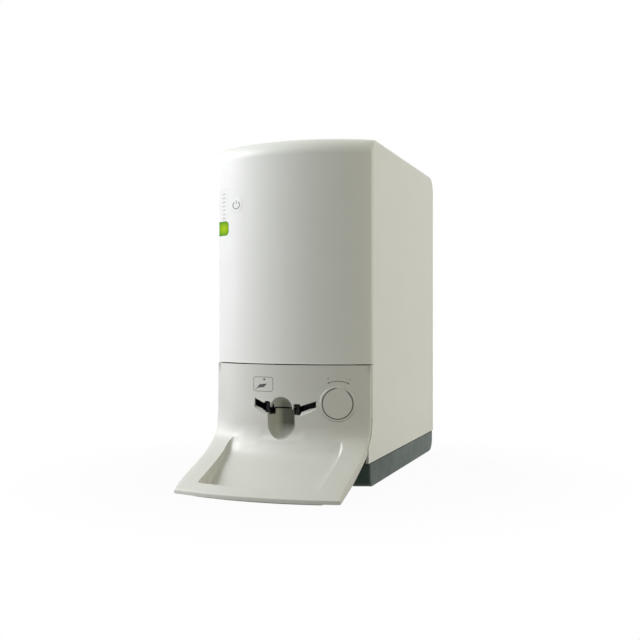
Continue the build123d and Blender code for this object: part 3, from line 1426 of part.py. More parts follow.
with BuildPart() as data_socket:
    slab(around(data_x, data_width), socket_y, around(socket_z, data_high))
    slab(around(data_x, data_mouth_width), (socket_y[1] - data_depth, socket_y[1] + overrun),
         around(socket_z, data_mouth_high), mode=Mode.SUBTRACT)
    slab(around(data_x, data_tongue_width), (socket_y[1] - data_depth, socket_y[1] - socket_proud),
         around(socket_z, data_tongue_high))
finish(data_socket, "data_socket")
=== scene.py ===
# %% [markdown]
# # A phosphor plate scanner for the desk
# The real object is a small clinic machine. A plate goes into a slot in its silver front, is read by a laser inside,
# and drops into the tray. Its solids come from the CAD side as a imported frame, so this lesson doesn't model the
# body again. It gives each solid a finish, prints the marks on the front, and sets up a camera and studio lamps
# that agree with one photograph.

# %% Load the frame
import json
import math

import bmesh
import bpy
from mathutils import Matrix, Vector
from mathutils.bvhtree import BVHTree

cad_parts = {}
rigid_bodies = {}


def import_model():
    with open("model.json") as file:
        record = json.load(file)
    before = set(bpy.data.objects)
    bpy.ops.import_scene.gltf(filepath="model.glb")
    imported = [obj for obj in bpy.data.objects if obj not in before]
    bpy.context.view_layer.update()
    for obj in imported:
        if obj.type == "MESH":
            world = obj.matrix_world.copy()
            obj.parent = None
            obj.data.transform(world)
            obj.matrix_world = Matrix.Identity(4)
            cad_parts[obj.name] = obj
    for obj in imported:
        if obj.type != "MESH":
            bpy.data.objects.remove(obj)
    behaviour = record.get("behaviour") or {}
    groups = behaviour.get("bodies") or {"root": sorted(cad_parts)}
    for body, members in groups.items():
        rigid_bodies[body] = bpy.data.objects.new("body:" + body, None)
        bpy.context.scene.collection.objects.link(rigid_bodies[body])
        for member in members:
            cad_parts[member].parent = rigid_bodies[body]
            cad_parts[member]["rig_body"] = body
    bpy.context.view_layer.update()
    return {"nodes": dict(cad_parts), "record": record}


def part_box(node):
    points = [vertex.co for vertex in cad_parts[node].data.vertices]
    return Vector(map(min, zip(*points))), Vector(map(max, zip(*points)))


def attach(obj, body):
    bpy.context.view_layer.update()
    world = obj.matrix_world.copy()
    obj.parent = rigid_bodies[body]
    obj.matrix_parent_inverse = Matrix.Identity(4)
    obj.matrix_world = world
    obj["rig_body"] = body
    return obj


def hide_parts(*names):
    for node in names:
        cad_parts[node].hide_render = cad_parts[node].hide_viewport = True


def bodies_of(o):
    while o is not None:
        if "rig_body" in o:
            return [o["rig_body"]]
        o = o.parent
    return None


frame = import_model()

# %% [markdown]
# ## The camera
# A photograph fixes the camera: the outline of the white box and the bow of its front give the focal length, the
# turn and the distance. The camera is level, so it is only turned about the upright axis. It could also be aimed
# with a constraint, but plain numbers can be read and checked.

# %% Camera from the photograph's outline
camera_data = bpy.data.cameras.new("photo_camera")
camera_data.sensor_width = 36.0
camera_data.lens = 50.83
camera = bpy.data.objects.new("photo_camera", camera_data)
camera.location = (0.3341, -0.94876, 0.16894)
camera.rotation_euler = (math.pi / 2, 0.0, 0.33982)
bpy.context.scene.collection.objects.link(camera)
bpy.context.scene.camera = camera
print("camera at", tuple(round(v, 3) for v in camera.location))

# %% [markdown]
# ## Studio
# Pack shots of white goods have their large lamps on one side, so the bowed front falls from white to grey across
# its width. The key lamp is high on the left, a low one beside it keeps the left edge white, and a weak one nearer
# the camera lights the tray. A warm lamp on the right opens up the white side, and a plain sky gives the rest. The
# lamps' levels and tints come from a least squares fit of one-lamp renders, which is quicker and fairer than
# turning one lamp at a time by eye.

# %% Lamps
def area_lamp(name, where, aim, size, watts, tint):
    data = bpy.data.lights.new(name, "AREA")
    data.shape = "SQUARE"
    data.size = size
    data.energy = watts
    data.color = tint
    lamp = bpy.data.objects.new(name, data)
    lamp.location = where
    lamp.rotation_euler = (Vector(aim) - Vector(where)).to_track_quat("-Z", "Y").to_euler()
    bpy.context.scene.collection.objects.link(lamp)
    return lamp


lamps = (
    area_lamp("key_lamp", (-1.6, -0.45, 1.25), (0.0, -0.08, 0.15), 0.9, 20.9, (0.957, 0.967, 1.0)),
    area_lamp("low_lamp", (-1.85, -0.62, 0.42), (0.0, -0.05, 0.17), 0.9, 11.4, (0.883, 0.862, 1.0)),
    area_lamp("front_lamp", (-1.3, -1.0, 1.35), (0.0, -0.08, 0.15), 0.9, 6.2, (0.844, 0.938, 1.0)),
    area_lamp("side_lamp", (1.9, 0.35, 0.5), (0.0, 0.05, 0.17), 1.1, 11.0, (1.0, 0.965, 0.831)),
)
print("lamps:", [lamp.name for lamp in lamps])

# %% World: a plain sky that lights the object, and pure white where the camera, a gloss or a glass looks at it
def seen_rays(tree):
    """A mask that is 1 for rays from the camera, a gloss or a glass, and 0 for the light that falls on things."""
    path = tree.nodes.new("ShaderNodeLightPath")
    either = tree.nodes.new("ShaderNodeMath")
    either.operation = "MAXIMUM"
    tree.links.new(path.outputs["Is Camera Ray"], either.inputs[0])
    tree.links.new(path.outputs["Is Glossy Ray"], either.inputs[1])
    seen = tree.nodes.new("ShaderNodeMath")
    seen.operation = "MAXIMUM"
    tree.links.new(either.outputs["Value"], seen.inputs[0])
    tree.links.new(path.outputs["Is Transmission Ray"], seen.inputs[1])
    return seen.outputs["Value"]


world = bpy.data.worlds.new("studio_world")
bpy.context.scene.world = world
world.use_nodes = True
sky = world.node_tree
sky.nodes.clear()
sky_out = sky.nodes.new("ShaderNodeOutputWorld")
sky_mix = sky.nodes.new("ShaderNodeMixShader")
sky_plain = sky.nodes.new("ShaderNodeBackground")
sky_white = sky.nodes.new("ShaderNodeBackground")
sky_plain.inputs["Color"].default_value = (0.993, 1.0, 0.834, 1.0)
sky_plain.inputs["Strength"].default_value = 0.382
sky_white.inputs["Color"].default_value = (1.0, 1.0, 1.0, 1.0)
sky_white.inputs["Strength"].default_value = 1.0
sky.links.new(seen_rays(sky), sky_mix.inputs["Fac"])
sky.links.new(sky_plain.outputs["Background"], sky_mix.inputs[1])
sky.links.new(sky_white.outputs["Background"], sky_mix.inputs[2])
sky.links.new(sky_mix.outputs["Shader"], sky_out.inputs["Surface"])
bpy.context.scene.view_settings.view_transform = "Standard"
print("sky strength:", round(sky_plain.inputs["Strength"].default_value, 3))

# %% [markdown]
# ### Floor
# The floor is a card that catches the shadow, mixed with a white glow for the rays that look at it. Near the
# object a small part of the card shows through, and further out it is pure white, so no horizon can be seen. A
# shadow catcher would need a composite, and this floor works in one render.

# %% A white floor that keeps a little of the shadow
floor_half, shadow_scale, shadow_share = 4.0, 2.8, 0.035
floor_mesh = bpy.data.meshes.new("floor")
floor_form = bmesh.new()
bmesh.ops.create_grid(floor_form, x_segments=1, y_segments=1, size=floor_half)
floor_form.to_mesh(floor_mesh)
floor_form.free()
floor = bpy.data.objects.new("floor", floor_mesh)
bpy.context.scene.collection.objects.link(floor)
floor_paint = bpy.data.materials.new("floor_white")
floor_paint.use_nodes = True
tree = floor_paint.node_tree
tree.nodes.clear()
floor_out = tree.nodes.new("ShaderNodeOutputMaterial")
floor_mix = tree.nodes.new("ShaderNodeMixShader")
floor_card = tree.nodes.new("ShaderNodeBsdfDiffuse")
floor_glow = tree.nodes.new("ShaderNodeEmission")
floor_place = tree.nodes.new("ShaderNodeTexCoord")
floor_reach = tree.nodes.new("ShaderNodeMapping")
floor_reach.inputs["Scale"].default_value = (shadow_scale, shadow_scale, 1.0)
floor_ring = tree.nodes.new("ShaderNodeTexGradient")
floor_ring.gradient_type = "SPHERICAL"
floor_near = tree.nodes.new("ShaderNodeMapRange")
floor_near.inputs["From Max"].default_value = 0.5
floor_near.inputs["To Min"].default_value = 1.0
floor_near.inputs["To Max"].default_value = 1.0 - shadow_share
floor_part = tree.nodes.new("ShaderNodeMath")
floor_part.operation = "MULTIPLY"
floor_card.inputs["Color"].default_value = (0.25, 0.25, 0.25, 1.0)
floor_glow.inputs["Color"].default_value = (1.0, 1.0, 1.0, 1.0)
floor_glow.inputs["Strength"].default_value = 1.0
tree.links.new(floor_place.outputs["Object"], floor_reach.inputs["Vector"])
tree.links.new(floor_reach.outputs["Vector"], floor_ring.inputs["Vector"])
tree.links.new(floor_ring.outputs["Fac"], floor_near.inputs["Value"])
tree.links.new(seen_rays(tree), floor_part.inputs[0])
tree.links.new(floor_near.outputs["Result"], floor_part.inputs[1])
tree.links.new(floor_part.outputs["Value"], floor_mix.inputs["Fac"])
tree.links.new(floor_card.outputs["BSDF"], floor_mix.inputs[1])
tree.links.new(floor_glow.outputs["Emission"], floor_mix.inputs[2])
tree.links.new(floor_mix.outputs["Shader"], floor_out.inputs["Surface"])
floor_mesh.materials.append(floor_paint)
print("floor is", floor.dimensions[0], "m wide")

# %% [markdown]
# ## Effects that many finishes share
# Moulded plastic is never one flat colour: the tool leaves a fine grain, the batch drifts a little, hands polish
# some places and dust settles on what looks up. Each effect is a node group that gives a mask or a height, so a
# finish picks how much of it to use. The groups read Object coordinates in metres.

# %% A helper that starts a node group
def group_of(name, inputs, outputs):
    tree = bpy.data.node_groups.new(name, "ShaderNodeTree")
    for label, kind, value in inputs:
        socket = tree.interface.new_socket(name=label, in_out="INPUT", socket_type=kind)
        socket.default_value = value
    for label, kind in outputs:
        tree.interface.new_socket(name=label, in_out="OUTPUT", socket_type=kind)
    return tree, tree.nodes.new("NodeGroupInput"), tree.nodes.new("NodeGroupOutput")


def noise(tree, vector, scale, detail=3.0, rough=0.5, stretch=None):
    if stretch is not None:
        turn = tree.nodes.new("ShaderNodeMapping")
        turn.inputs["Scale"].default_value = stretch
        tree.links.new(vector, turn.inputs["Vector"])
        vector = turn.outputs["Vector"]
    node = tree.nodes.new("ShaderNodeTexNoise")
    node.inputs["Scale"].default_value = scale
    node.inputs["Detail"].default_value = detail
    node.inputs["Roughness"].default_value = rough
    tree.links.new(vector, node.inputs["Vector"])
    return node.outputs["Fac"]


def remap(tree, value, low, high, to_low, to_high):
    node = tree.nodes.new("ShaderNodeMapRange")
    node.inputs["From Min"].default_value = low
    node.inputs["From Max"].default_value = high
    node.inputs["To Min"].default_value = to_low
    node.inputs["To Max"].default_value = to_high
    tree.links.new(value, node.inputs["Value"])
    return node.outputs["Result"]


def maths(tree, operation, first, second):
    node = tree.nodes.new("ShaderNodeMath")
    node.operation = operation
    for socket, value in zip(node.inputs, (first, second)):
        if isinstance(value, (int, float)):
            socket.default_value = value
        else:
            tree.links.new(value, socket)
    return node.outputs["Value"]


print("helpers ready")

# %% Moulded grain: slow drift of colour, and the fine texture of the tool
grain_group, grain_in, grain_out = group_of(
    "moulded_grain",
    [("Grain per metre", "NodeSocketFloat", 1500.0)],
    [("Drift", "NodeSocketFloat"), ("Height", "NodeSocketFloat"), ("Polish", "NodeSocketFloat")],
)
where = grain_group.nodes.new("ShaderNodeTexCoord").outputs["Object"]
drift = remap(grain_group, noise(grain_group, where, 16.0, 4.0), 0.3, 0.7, 0.0, 1.0)
fine = grain_group.nodes.new("ShaderNodeTexNoise")
fine.inputs["Detail"].default_value = 2.0
grain_group.links.new(where, fine.inputs["Vector"])
grain_group.links.new(grain_in.outputs["Grain per metre"], fine.inputs["Scale"])
polish = remap(grain_group, noise(grain_group, where, 42.0, 5.0, 0.6), 0.42, 0.66, 0.0, 1.0)
grain_group.links.new(drift, grain_out.inputs["Drift"])
grain_group.links.new(fine.outputs["Fac"], grain_out.inputs["Height"])
grain_group.links.new(polish, grain_out.inputs["Polish"])
print("grain gives", [socket.name for socket in grain_out.inputs if socket.name])

# %% Dust that settles on faces that look up
dust_group, dust_in, dust_out = group_of(
    "settled_dust", [("Amount", "NodeSocketFloat", 0.3)], [("Dust", "NodeSocketFloat")]
)
where = dust_group.nodes.new("ShaderNodeTexCoord").outputs["Object"]
facing = dust_group.nodes.new("ShaderNodeNewGeometry").outputs["Normal"]
parts = dust_group.nodes.new("ShaderNodeSeparateXYZ")
dust_group.links.new(facing, parts.inputs["Vector"])
upward = remap(dust_group, parts.outputs["Z"], 0.35, 1.0, 0.0, 1.0)
specks = remap(dust_group, noise(dust_group, where, 260.0, 6.0, 0.7), 0.46, 0.72, 0.15, 1.0)
settled = maths(dust_group, "MULTIPLY", upward, specks)
dust_group.links.new(maths(dust_group, "MULTIPLY", settled, dust_in.outputs["Amount"]), dust_out.inputs["Dust"])
print("dust nodes:", len(dust_group.nodes))

# %% Rubs: short scratches in several directions, from hands and cleaning cloths
rub_group, rub_in, rub_out = group_of(
    "rubs", [("Amount", "NodeSocketFloat", 0.3)], [("Rub", "NodeSocketFloat")]
)
where = rub_group.nodes.new("ShaderNodeTexCoord").outputs["Object"]
level_rubs = remap(rub_group, noise(rub_group, where, 60.0, 5.0, 0.6, (0.5, 0.5, 14.0)), 0.60, 0.74, 0.0, 1.0)
upright_rubs = remap(rub_group, noise(rub_group, where, 60.0, 5.0, 0.6, (14.0, 14.0, 0.6)), 0.62, 0.76, 0.0, 1.0)
patches = remap(rub_group, noise(rub_group, where, 11.0, 3.0), 0.45, 0.7, 0.0, 1.0)
rubbed = maths(rub_group, "MULTIPLY", maths(rub_group, "MAXIMUM", level_rubs, upright_rubs), patches)
rub_group.links.new(maths(rub_group, "MULTIPLY", rubbed, rub_in.outputs["Amount"]), rub_out.inputs["Rub"])
print("rub nodes:", len(rub_group.nodes))

# %% Brushed or turned metal: a noise drawn out along one direction
brush_group, brush_in, brush_out = group_of(
    "drawn_grain",
    [("Stretch", "NodeSocketVector", (400.0, 400.0, 8.0))],
    [("Line", "NodeSocketFloat"), ("Cloud", "NodeSocketFloat")],
)
where = brush_group.nodes.new("ShaderNodeTexCoord").outputs["Object"]
drawn = brush_group.nodes.new("ShaderNodeMapping")
brush_group.links.new(where, drawn.inputs["Vector"])
brush_group.links.new(brush_in.outputs["Stretch"], drawn.inputs["Scale"])
brush_group.links.new(noise(brush_group, drawn.outputs["Vector"], 4.0, 3.0), brush_out.inputs["Line"])
brush_group.links.new(noise(brush_group, where, 35.0, 4.0), brush_out.inputs["Cloud"])
print("effects:", [g.name for g in bpy.data.node_groups])

# %% [markdown]
# ## Plastic finishes
# All the mouldings share one recipe: two near colours mixed by the slow drift, dust on top, a roughness that
# changes with handling, and the tool's grain as a small bump. Only the colours and amounts differ. The recipe is
# a function and a table, because twenty nearly equal node trees by hand would be hard to keep alike.

# %% Recipe for a moulded plastic
def add_group(tree, group, **values):
    node = tree.nodes.new("ShaderNodeGroup")
    node.node_tree = group
    for label, value in values.items():
        node.inputs[label.replace("_", " ")].default_value = value
    return node


def colour_mix(tree, factor, first, second):
    node = tree.nodes.new("ShaderNodeMix")
    node.data_type = "RGBA"
    tree.links.new(factor, node.inputs[0])
    for socket, value in ((node.inputs[6], first), (node.inputs[7], second)):
        if isinstance(value, tuple):
            socket.default_value = (*value, 1.0)
        else:
            tree.links.new(value, socket)
    return node.outputs[2]


def bump_into(tree, height, skin, strength, distance):
    node = tree.nodes.new("ShaderNodeBump")
    node.inputs["Strength"].default_value = strength
    node.inputs["Distance"].default_value = distance
    tree.links.new(height, node.inputs["Height"])
    tree.links.new(node.outputs["Normal"], skin.inputs["Normal"])


def new_finish(name):
    paint = bpy.data.materials.new(name)
    paint.use_nodes = True
    return paint, paint.node_tree, paint.node_tree.nodes["Principled BSDF"]


def moulded(name, light, dark, rough, grain, depth, dust, rub, metal=0.0, gloss=0.5):
    paint, tree, skin = new_finish(name)
    tool = add_group(tree, grain_group, Grain_per_metre=grain)
    dusty = add_group(tree, dust_group, Amount=dust)
    rubs = add_group(tree, rub_group, Amount=rub)
    body = colour_mix(tree, tool.outputs["Drift"], light, dark)
    pale = tuple(0.5 * v + 0.34 for v in light)
    tree.links.new(colour_mix(tree, dusty.outputs["Dust"], body, pale), skin.inputs["Base Color"])
    satin = remap(tree, tool.outputs["Polish"], 0.0, 1.0, rough * 1.08, rough * 0.9)
    scuffed = maths(tree, "ADD", satin, maths(tree, "MULTIPLY", rubs.outputs["Rub"], 0.25))
    dulled = maths(tree, "MULTIPLY", dusty.outputs["Dust"], 0.3)
    tree.links.new(maths(tree, "ADD", scuffed, dulled), skin.inputs["Roughness"])
    skin.inputs["Metallic"].default_value = metal
    skin.inputs["Specular IOR Level"].default_value = gloss
    bump_into(tree, tool.outputs["Height"], skin, 0.35, depth)
    return paint


# Light colour, dark colour, roughness, grain per metre, grain depth in metres, dust, rubs, metal, gloss
plastics = {
    "cover_white": ((0.87, 0.87, 0.84), (0.855, 0.855, 0.82), 0.42, 1300.0, 0.00002, 0.1, 0.15),
    "panel_silver": ((0.685, 0.68, 0.635), (0.665, 0.66, 0.615), 0.44, 2200.0, 0.00002, 0.15, 0.2, 0.06),
    "base_dark": ((0.045, 0.075, 0.058), (0.037, 0.063, 0.049), 0.42, 900.0, 0.00003, 0.08, 0.15, 0.0, 0.2),
    "foot_rubber": ((0.03, 0.03, 0.03), (0.022, 0.022, 0.022), 0.8, 700.0, 0.00005, 0.4, 0.2),
    "button_white": ((0.86, 0.87, 0.85), (0.85, 0.86, 0.835), 0.36, 1800.0, 0.00001, 0.1, 0.2),
    "black_plastic": ((0.035, 0.035, 0.035), (0.027, 0.027, 0.028), 0.46, 1200.0, 0.00003, 0.3, 0.3),
    "guide_black": ((0.008, 0.008, 0.008), (0.006, 0.006, 0.006), 0.5, 1600.0, 0.00002, 0.04, 0.1, 0.0, 0.2),
    "rear_grey": ((0.42, 0.43, 0.42), (0.40, 0.41, 0.40), 0.45, 1000.0, 0.00004, 0.15, 0.3),
    "motor_black": ((0.03, 0.03, 0.032), (0.024, 0.024, 0.025), 0.36, 800.0, 0.00003, 0.3, 0.3),
}
finishes = {name: moulded(name, *recipe) for name, recipe in plastics.items()}
print("plastics:", sorted(finishes))

# %% [markdown]
# ### The finger bowl
# The photograph shows the bowl darker than the lamps leave it. So shade is painted into the silver by where a point
# lies:
# darker with depth, darker on the rear wall than on the left one, and fading out at the foot. A deeper pocket would
# darken too, but its true depth can't be read from one photograph, so the painted shade is the smaller guess.

# %% Paint shade into the silver inside the bowl
slot_x, slot_z = -0.003, 0.0804
bowl_half, bowl_foot, bowl_head = 0.0146, slot_z - 0.0306, slot_z + 0.0124
shade_front, shade_full = -0.1080, -0.1003
wall_left, wall_rear = slot_x - 0.0085, slot_x - 0.0025
fade_low, fade_high, fade_least = bowl_foot + 0.003, bowl_foot + 0.015, 0.12
slot_blend = 0.0004
tree = finishes["panel_silver"].node_tree
skin = tree.nodes["Principled BSDF"]
silver = skin.inputs["Base Color"].links[0].from_socket
spot = tree.nodes.new("ShaderNodeSeparateXYZ")
tree.links.new(tree.nodes.new("ShaderNodeTexCoord").outputs["Object"], spot.inputs["Vector"])
bowl_across = maths(tree, "ABSOLUTE", maths(tree, "SUBTRACT", spot.outputs["X"], slot_x), 0.0)
# Mask of the painted shade: full deep inside the bowl, less towards its front edge and towards its foot
bowl_shade_mask = maths(tree, "LESS_THAN", bowl_across, bowl_half)
bowl_shade_mask = maths(tree, "MULTIPLY", bowl_shade_mask, maths(tree, "GREATER_THAN", spot.outputs["Z"], bowl_foot))
bowl_shade_mask = maths(tree, "MULTIPLY", bowl_shade_mask, maths(tree, "LESS_THAN", spot.outputs["Z"], bowl_head))
bowl_shade_mask = maths(tree, "MULTIPLY", bowl_shade_mask, remap(tree, spot.outputs["Y"], shade_front, shade_full, 0.0, 1.0))
bowl_shade_mask = maths(tree, "MULTIPLY", bowl_shade_mask, remap(tree, spot.outputs["Z"], fade_low, fade_high, fade_least, 1.0))
on_rear = remap(tree, spot.outputs["X"], wall_left, wall_rear, 0.0, 1.0)
over_slot = remap(tree, spot.outputs["Z"], slot_z - slot_blend, slot_z + slot_blend, 0.0, 1.0)
# Painted shade colours: lighter on the left wall, darkest on the rear wall, each changing at the slot
left_wall_shade = colour_mix(tree, over_slot, (0.50, 0.49, 0.38), (0.36, 0.36, 0.27))
rear_wall_shade = colour_mix(tree, over_slot, (0.105, 0.115, 0.088), (0.18, 0.19, 0.15))
bowl_painted_shade = colour_mix(tree, on_rear, left_wall_shade, rear_wall_shade)
tree.links.new(colour_mix(tree, bowl_shade_mask, silver, bowl_painted_shade), skin.inputs["Base Color"])
print("bowl from", round(bowl_foot, 4), "to", round(bowl_head, 4))

# %% [markdown]
# ## Metal finishes
# Inside are zinc plated sheets, ground bars, turned brass and milled alloy. Their colour is almost plain, and what
# tells them apart is the direction and size of the tool lines, so each gets its own stretch of one drawn grain.

# %% Recipe for a metal
def metal(name, tint, shade, rough, stretch, depth=0.00001, dust=0.1):
    paint, tree, skin = new_finish(name)
    lines = add_group(tree, brush_group, Stretch=stretch)
    dusty = add_group(tree, dust_group, Amount=dust)
    body = colour_mix(tree, lines.outputs["Cloud"], tint, shade)
    tree.links.new(colour_mix(tree, dusty.outputs["Dust"], body, (0.5, 0.49, 0.47)), skin.inputs["Base Color"])
    streaks = remap(tree, lines.outputs["Line"], 0.3, 0.7, rough * 0.8, rough * 1.25)
    dulled = maths(tree, "MULTIPLY", dusty.outputs["Dust"], 0.4)
    tree.links.new(maths(tree, "ADD", streaks, dulled), skin.inputs["Roughness"])
    skin.inputs["Metallic"].default_value = 1.0
    bump_into(tree, lines.outputs["Line"], skin, 0.25, depth)
    return paint


# Light colour, dark colour, roughness, stretch of the tool lines, their depth in metres, dust
metals = {
    "screw_steel": ((0.62, 0.61, 0.58), (0.52, 0.51, 0.49), 0.3, (60.0, 60.0, 60.0)),
    "sheet_steel": ((0.60, 0.61, 0.62), (0.53, 0.545, 0.56), 0.38, (8.0, 400.0, 60.0)),
    "cast_alloy": ((0.66, 0.67, 0.68), (0.58, 0.59, 0.60), 0.42, (120.0, 6.0, 120.0)),
    "bright_steel": ((0.74, 0.74, 0.75), (0.66, 0.66, 0.68), 0.16, (300.0, 2.0, 300.0)),
    "brass": ((0.72, 0.54, 0.26), (0.60, 0.43, 0.19), 0.26, (60.0, 900.0, 60.0)),
    "mirror_facet": ((0.90, 0.90, 0.91), (0.88, 0.88, 0.90), 0.03, (40.0, 40.0, 40.0), 0.000001, 0.02),
    "tube_metal": ((0.50, 0.50, 0.51), (0.42, 0.42, 0.44), 0.34, (500.0, 4.0, 500.0)),
    "socket_metal": ((0.74, 0.74, 0.73), (0.66, 0.66, 0.65), 0.28, (10.0, 10.0, 500.0)),
}
finishes.update({name: metal(name, *recipe) for name, recipe in metals.items()})
print("metals and plastics:", len(finishes))

# %% [markdown]
# ## Lenses, light bars and the board
# The status lens is clear green plastic over a lit diode, so its middle is yellow green and its rim is deep green.
# A flat green would look like tape. The scanner's light guide is clear acrylic. The boards are green lacquer over
# copper runs, which show as a pattern of straight tracks.

# %% Status lens with a glow behind its middle
lens_low, lens_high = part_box("status_lens")
lens_paint, tree, skin = new_finish("status_green")
place = tree.nodes.new("ShaderNodeTexCoord")
centred = tree.nodes.new("ShaderNodeMapping")
centred.vector_type = "TEXTURE"
centred.inputs["Location"].default_value = (
    (lens_low[0] + lens_high[0]) / 2, lens_low[1], (lens_low[2] + lens_high[2]) / 2)
centred.inputs["Scale"].default_value = (0.012, 0.02, 0.0095)
glow = tree.nodes.new("ShaderNodeTexGradient")
glow.gradient_type = "SPHERICAL"
tree.links.new(place.outputs["Object"], centred.inputs["Vector"])
tree.links.new(centred.outputs["Vector"], glow.inputs["Vector"])
lit = remap(tree, glow.outputs["Fac"], 0.0, 0.75, 0.0, 1.0)
tree.links.new(colour_mix(tree, lit, (0.02, 0.27, 0.005), (0.37, 0.55, 0.0)), skin.inputs["Base Color"])
tree.links.new(colour_mix(tree, lit, (0.0, 0.01, 0.0), (0.03, 0.05, 0.0)), skin.inputs["Emission Color"])
skin.inputs["Emission Strength"].default_value = 1.0
skin.inputs["Roughness"].default_value = 0.3
skin.inputs["Specular IOR Level"].default_value = 0.03
finishes["status_green"] = lens_paint
print("lens spans", [round(high - low, 4) for low, high in zip(lens_low, lens_high)])

# %% Level bars, acrylic guide and printed boards
finishes["level_green"] = moulded(
    "level_green", (0.58, 0.61, 0.59), (0.56, 0.59, 0.57), 0.3, 2000.0, 0.00001, 0.1, 0.1)
clear_paint, tree, skin = new_finish("clear_guide")
tool = add_group(tree, grain_group, Grain_per_metre=300.0)
acrylic = colour_mix(tree, tool.outputs["Drift"], (0.92, 0.97, 0.95), (0.88, 0.95, 0.92))
tree.links.new(acrylic, skin.inputs["Base Color"])
tree.links.new(remap(tree, tool.outputs["Polish"], 0.0, 1.0, 0.03, 0.10), skin.inputs["Roughness"])
skin.inputs["Transmission Weight"].default_value = 1.0
skin.inputs["IOR"].default_value = 1.49
finishes["clear_guide"] = clear_paint

board_paint, tree, skin = new_finish("board_green")
place = tree.nodes.new("ShaderNodeTexCoord")
tracks = tree.nodes.new("ShaderNodeTexBrick")
for label, value in (("Scale", 90.0), ("Mortar Size", 0.06), ("Brick Width", 0.9), ("Row Height", 0.22)):
    tracks.inputs[label].default_value = value
tracks.inputs["Color1"].default_value = (0.016, 0.13, 0.05, 1.0)
tracks.inputs["Color2"].default_value = (0.02, 0.16, 0.065, 1.0)
tracks.inputs["Mortar"].default_value = (0.03, 0.24, 0.10, 1.0)
upright = tree.nodes.new("ShaderNodeMapping")
upright.inputs["Rotation"].default_value = (math.pi / 2, 0.0, 0.0)
tree.links.new(place.outputs["Object"], upright.inputs["Vector"])
tree.links.new(upright.outputs["Vector"], tracks.inputs["Vector"])
tree.links.new(tracks.outputs["Color"], skin.inputs["Base Color"])
tree.links.new(remap(tree, tracks.outputs["Fac"], 0.0, 1.0, 0.28, 0.36), skin.inputs["Roughness"])
bump_into(tree, tracks.outputs["Fac"], skin, 0.4, 0.00004)
finishes["board_green"] = board_paint
print("finishes:", len(finishes))

# %% [markdown]
# ## Dress the solids
# The record names a material slot for each solid, so the finishes go on by that name and no list has to be kept
# here.

# %% Put each finish on its solids
for node in frame["nodes"].values():
    for place in node.material_slots:
        slot_name = place.material.name.split(".")[0]
        if slot_name in finishes and place.material != finishes[slot_name]:
            place.material = finishes[slot_name]
        elif slot_name not in finishes:
            print("no finish for", node.name, slot_name)
print("dressed solids:", len(frame["nodes"]))

# %% [markdown]
# ## Smooth skins
# The CAD solids arrive as loose triangles, so their rounds show flat facets. A copy is merged into one skin,
# shaded smooth, and kept crisp where two faces meet at more than an angle. The copy then stands for the solid. A
# subdivision would round the skin too, but it would also pull in the crisp edges of the seams and windows.

# %% Which body and which finish each solid has
body_of = {name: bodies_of(node)[0] for name, node in frame["nodes"].items()}
slot_of = {part["node"]: part["material_slot"] for part in frame["record"]["subparts"]}


def seated(form, name, body, finish):
    """Make a piece from a bmesh, with its finish and the body that it rides on."""
    mesh = bpy.data.meshes.new(name)
    form.to_mesh(mesh)
    form.free()
    mesh.materials.append(finishes[finish])
    piece = bpy.data.objects.new(name, mesh)
    bpy.context.scene.collection.objects.link(piece)
    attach(piece, body)
    return piece


def crisp_over(form, degrees):
    """Shade a form smooth, but for edges that turn by more than an angle."""
    for face in form.faces:
        face.smooth = True
    for edge in form.edges:
        edge.smooth = len(edge.link_faces) == 2 and edge.calc_face_angle(0.0) < math.radians(degrees)


def merged_copy(node):
    form = bmesh.new()
    form.from_mesh(frame["nodes"][node].data)
    bmesh.ops.remove_doubles(form, verts=form.verts, dist=0.000002)
    return form


def smooth_skin(node, degrees=28.0, soften=None):
    form = merged_copy(node)
    if soften:
        soften(form)
    crisp_over(form, degrees)
    piece = seated(form, node + "_skin", body_of[node], slot_of[node])
    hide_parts(node)
    return piece


print("bodies:", sorted(set(body_of.values())))

# %% [markdown]
# ### The round where the well meets the panel
# The solid has a shallow crease there, and the photograph shows a soft round. Shading alone can't hide it, so the
# copy's points move to the mean depth of the skin just over and under them. A Laplacian smooth would leave bumps,
# because the solid's triangles are so uneven.

# %% Round the crease where the tray's well runs out into the panel
crease_low, crease_high, crease_half, crease_reach = 0.034, 0.068, 0.0555, 0.009
crease_rows, crease_margin = 18, 0.004
crease_weights = (1, 2, 3, 4, 3, 2, 1)
in_front_y, backward = -0.4, Vector((0.0, 1.0, 0.0))


def on_crease(face):
    middle = face.calc_center_median()
    outward = face.normal.y < -0.1 and face.normal.z > -0.5
    between = crease_low - crease_margin < middle.z < crease_high + crease_margin
    return outward and between and abs(middle.x) < crease_half + crease_margin


def beside_bowl(x, z):
    """How far a point of the skin is from the bowl's mouth."""
    return max(abs(x - slot_x) - bowl_half - 0.0006, bowl_foot - 0.0012 - z)


def soften_crease(form):
    """Cut level rows into the skin round the crease, and move each point to the mean of the skin over and under it."""
    before = BVHTree.FromBMesh(form)
    for step in range(crease_rows):
        cut_at = Vector((0.0, 0.0, crease_low + (crease_high - crease_low) * step / (crease_rows - 1)))
        parts = {face for face in form.faces if on_crease(face)}
        parts |= {part for face in parts for part in (*face.edges, *face.verts)}
        bmesh.ops.bisect_plane(form, geom=list(parts), dist=0.00001, plane_co=cut_at, plane_no=(0.0, 0.0, 1.0))
    moved = 0
    for vert in form.verts:
        x, y, z = vert.co
        reach = min(crease_reach, z - crease_low, crease_high - z, crease_half - abs(x), beside_bowl(x, z))
        if reach < 0.0005 or not all(on_crease(face) for face in vert.link_faces):
            continue
        total = 0.0
        for step, weight in zip(range(-3, 4), crease_weights):
            hit = before.ray_cast(Vector((x, in_front_y, z + reach * step / 3)), backward)[0]
            total += weight * hit.y
        vert.co.y = total / sum(crease_weights)
        moved += 1
    print("crease points moved:", moved)


print("crease from", crease_low, "to", crease_high)

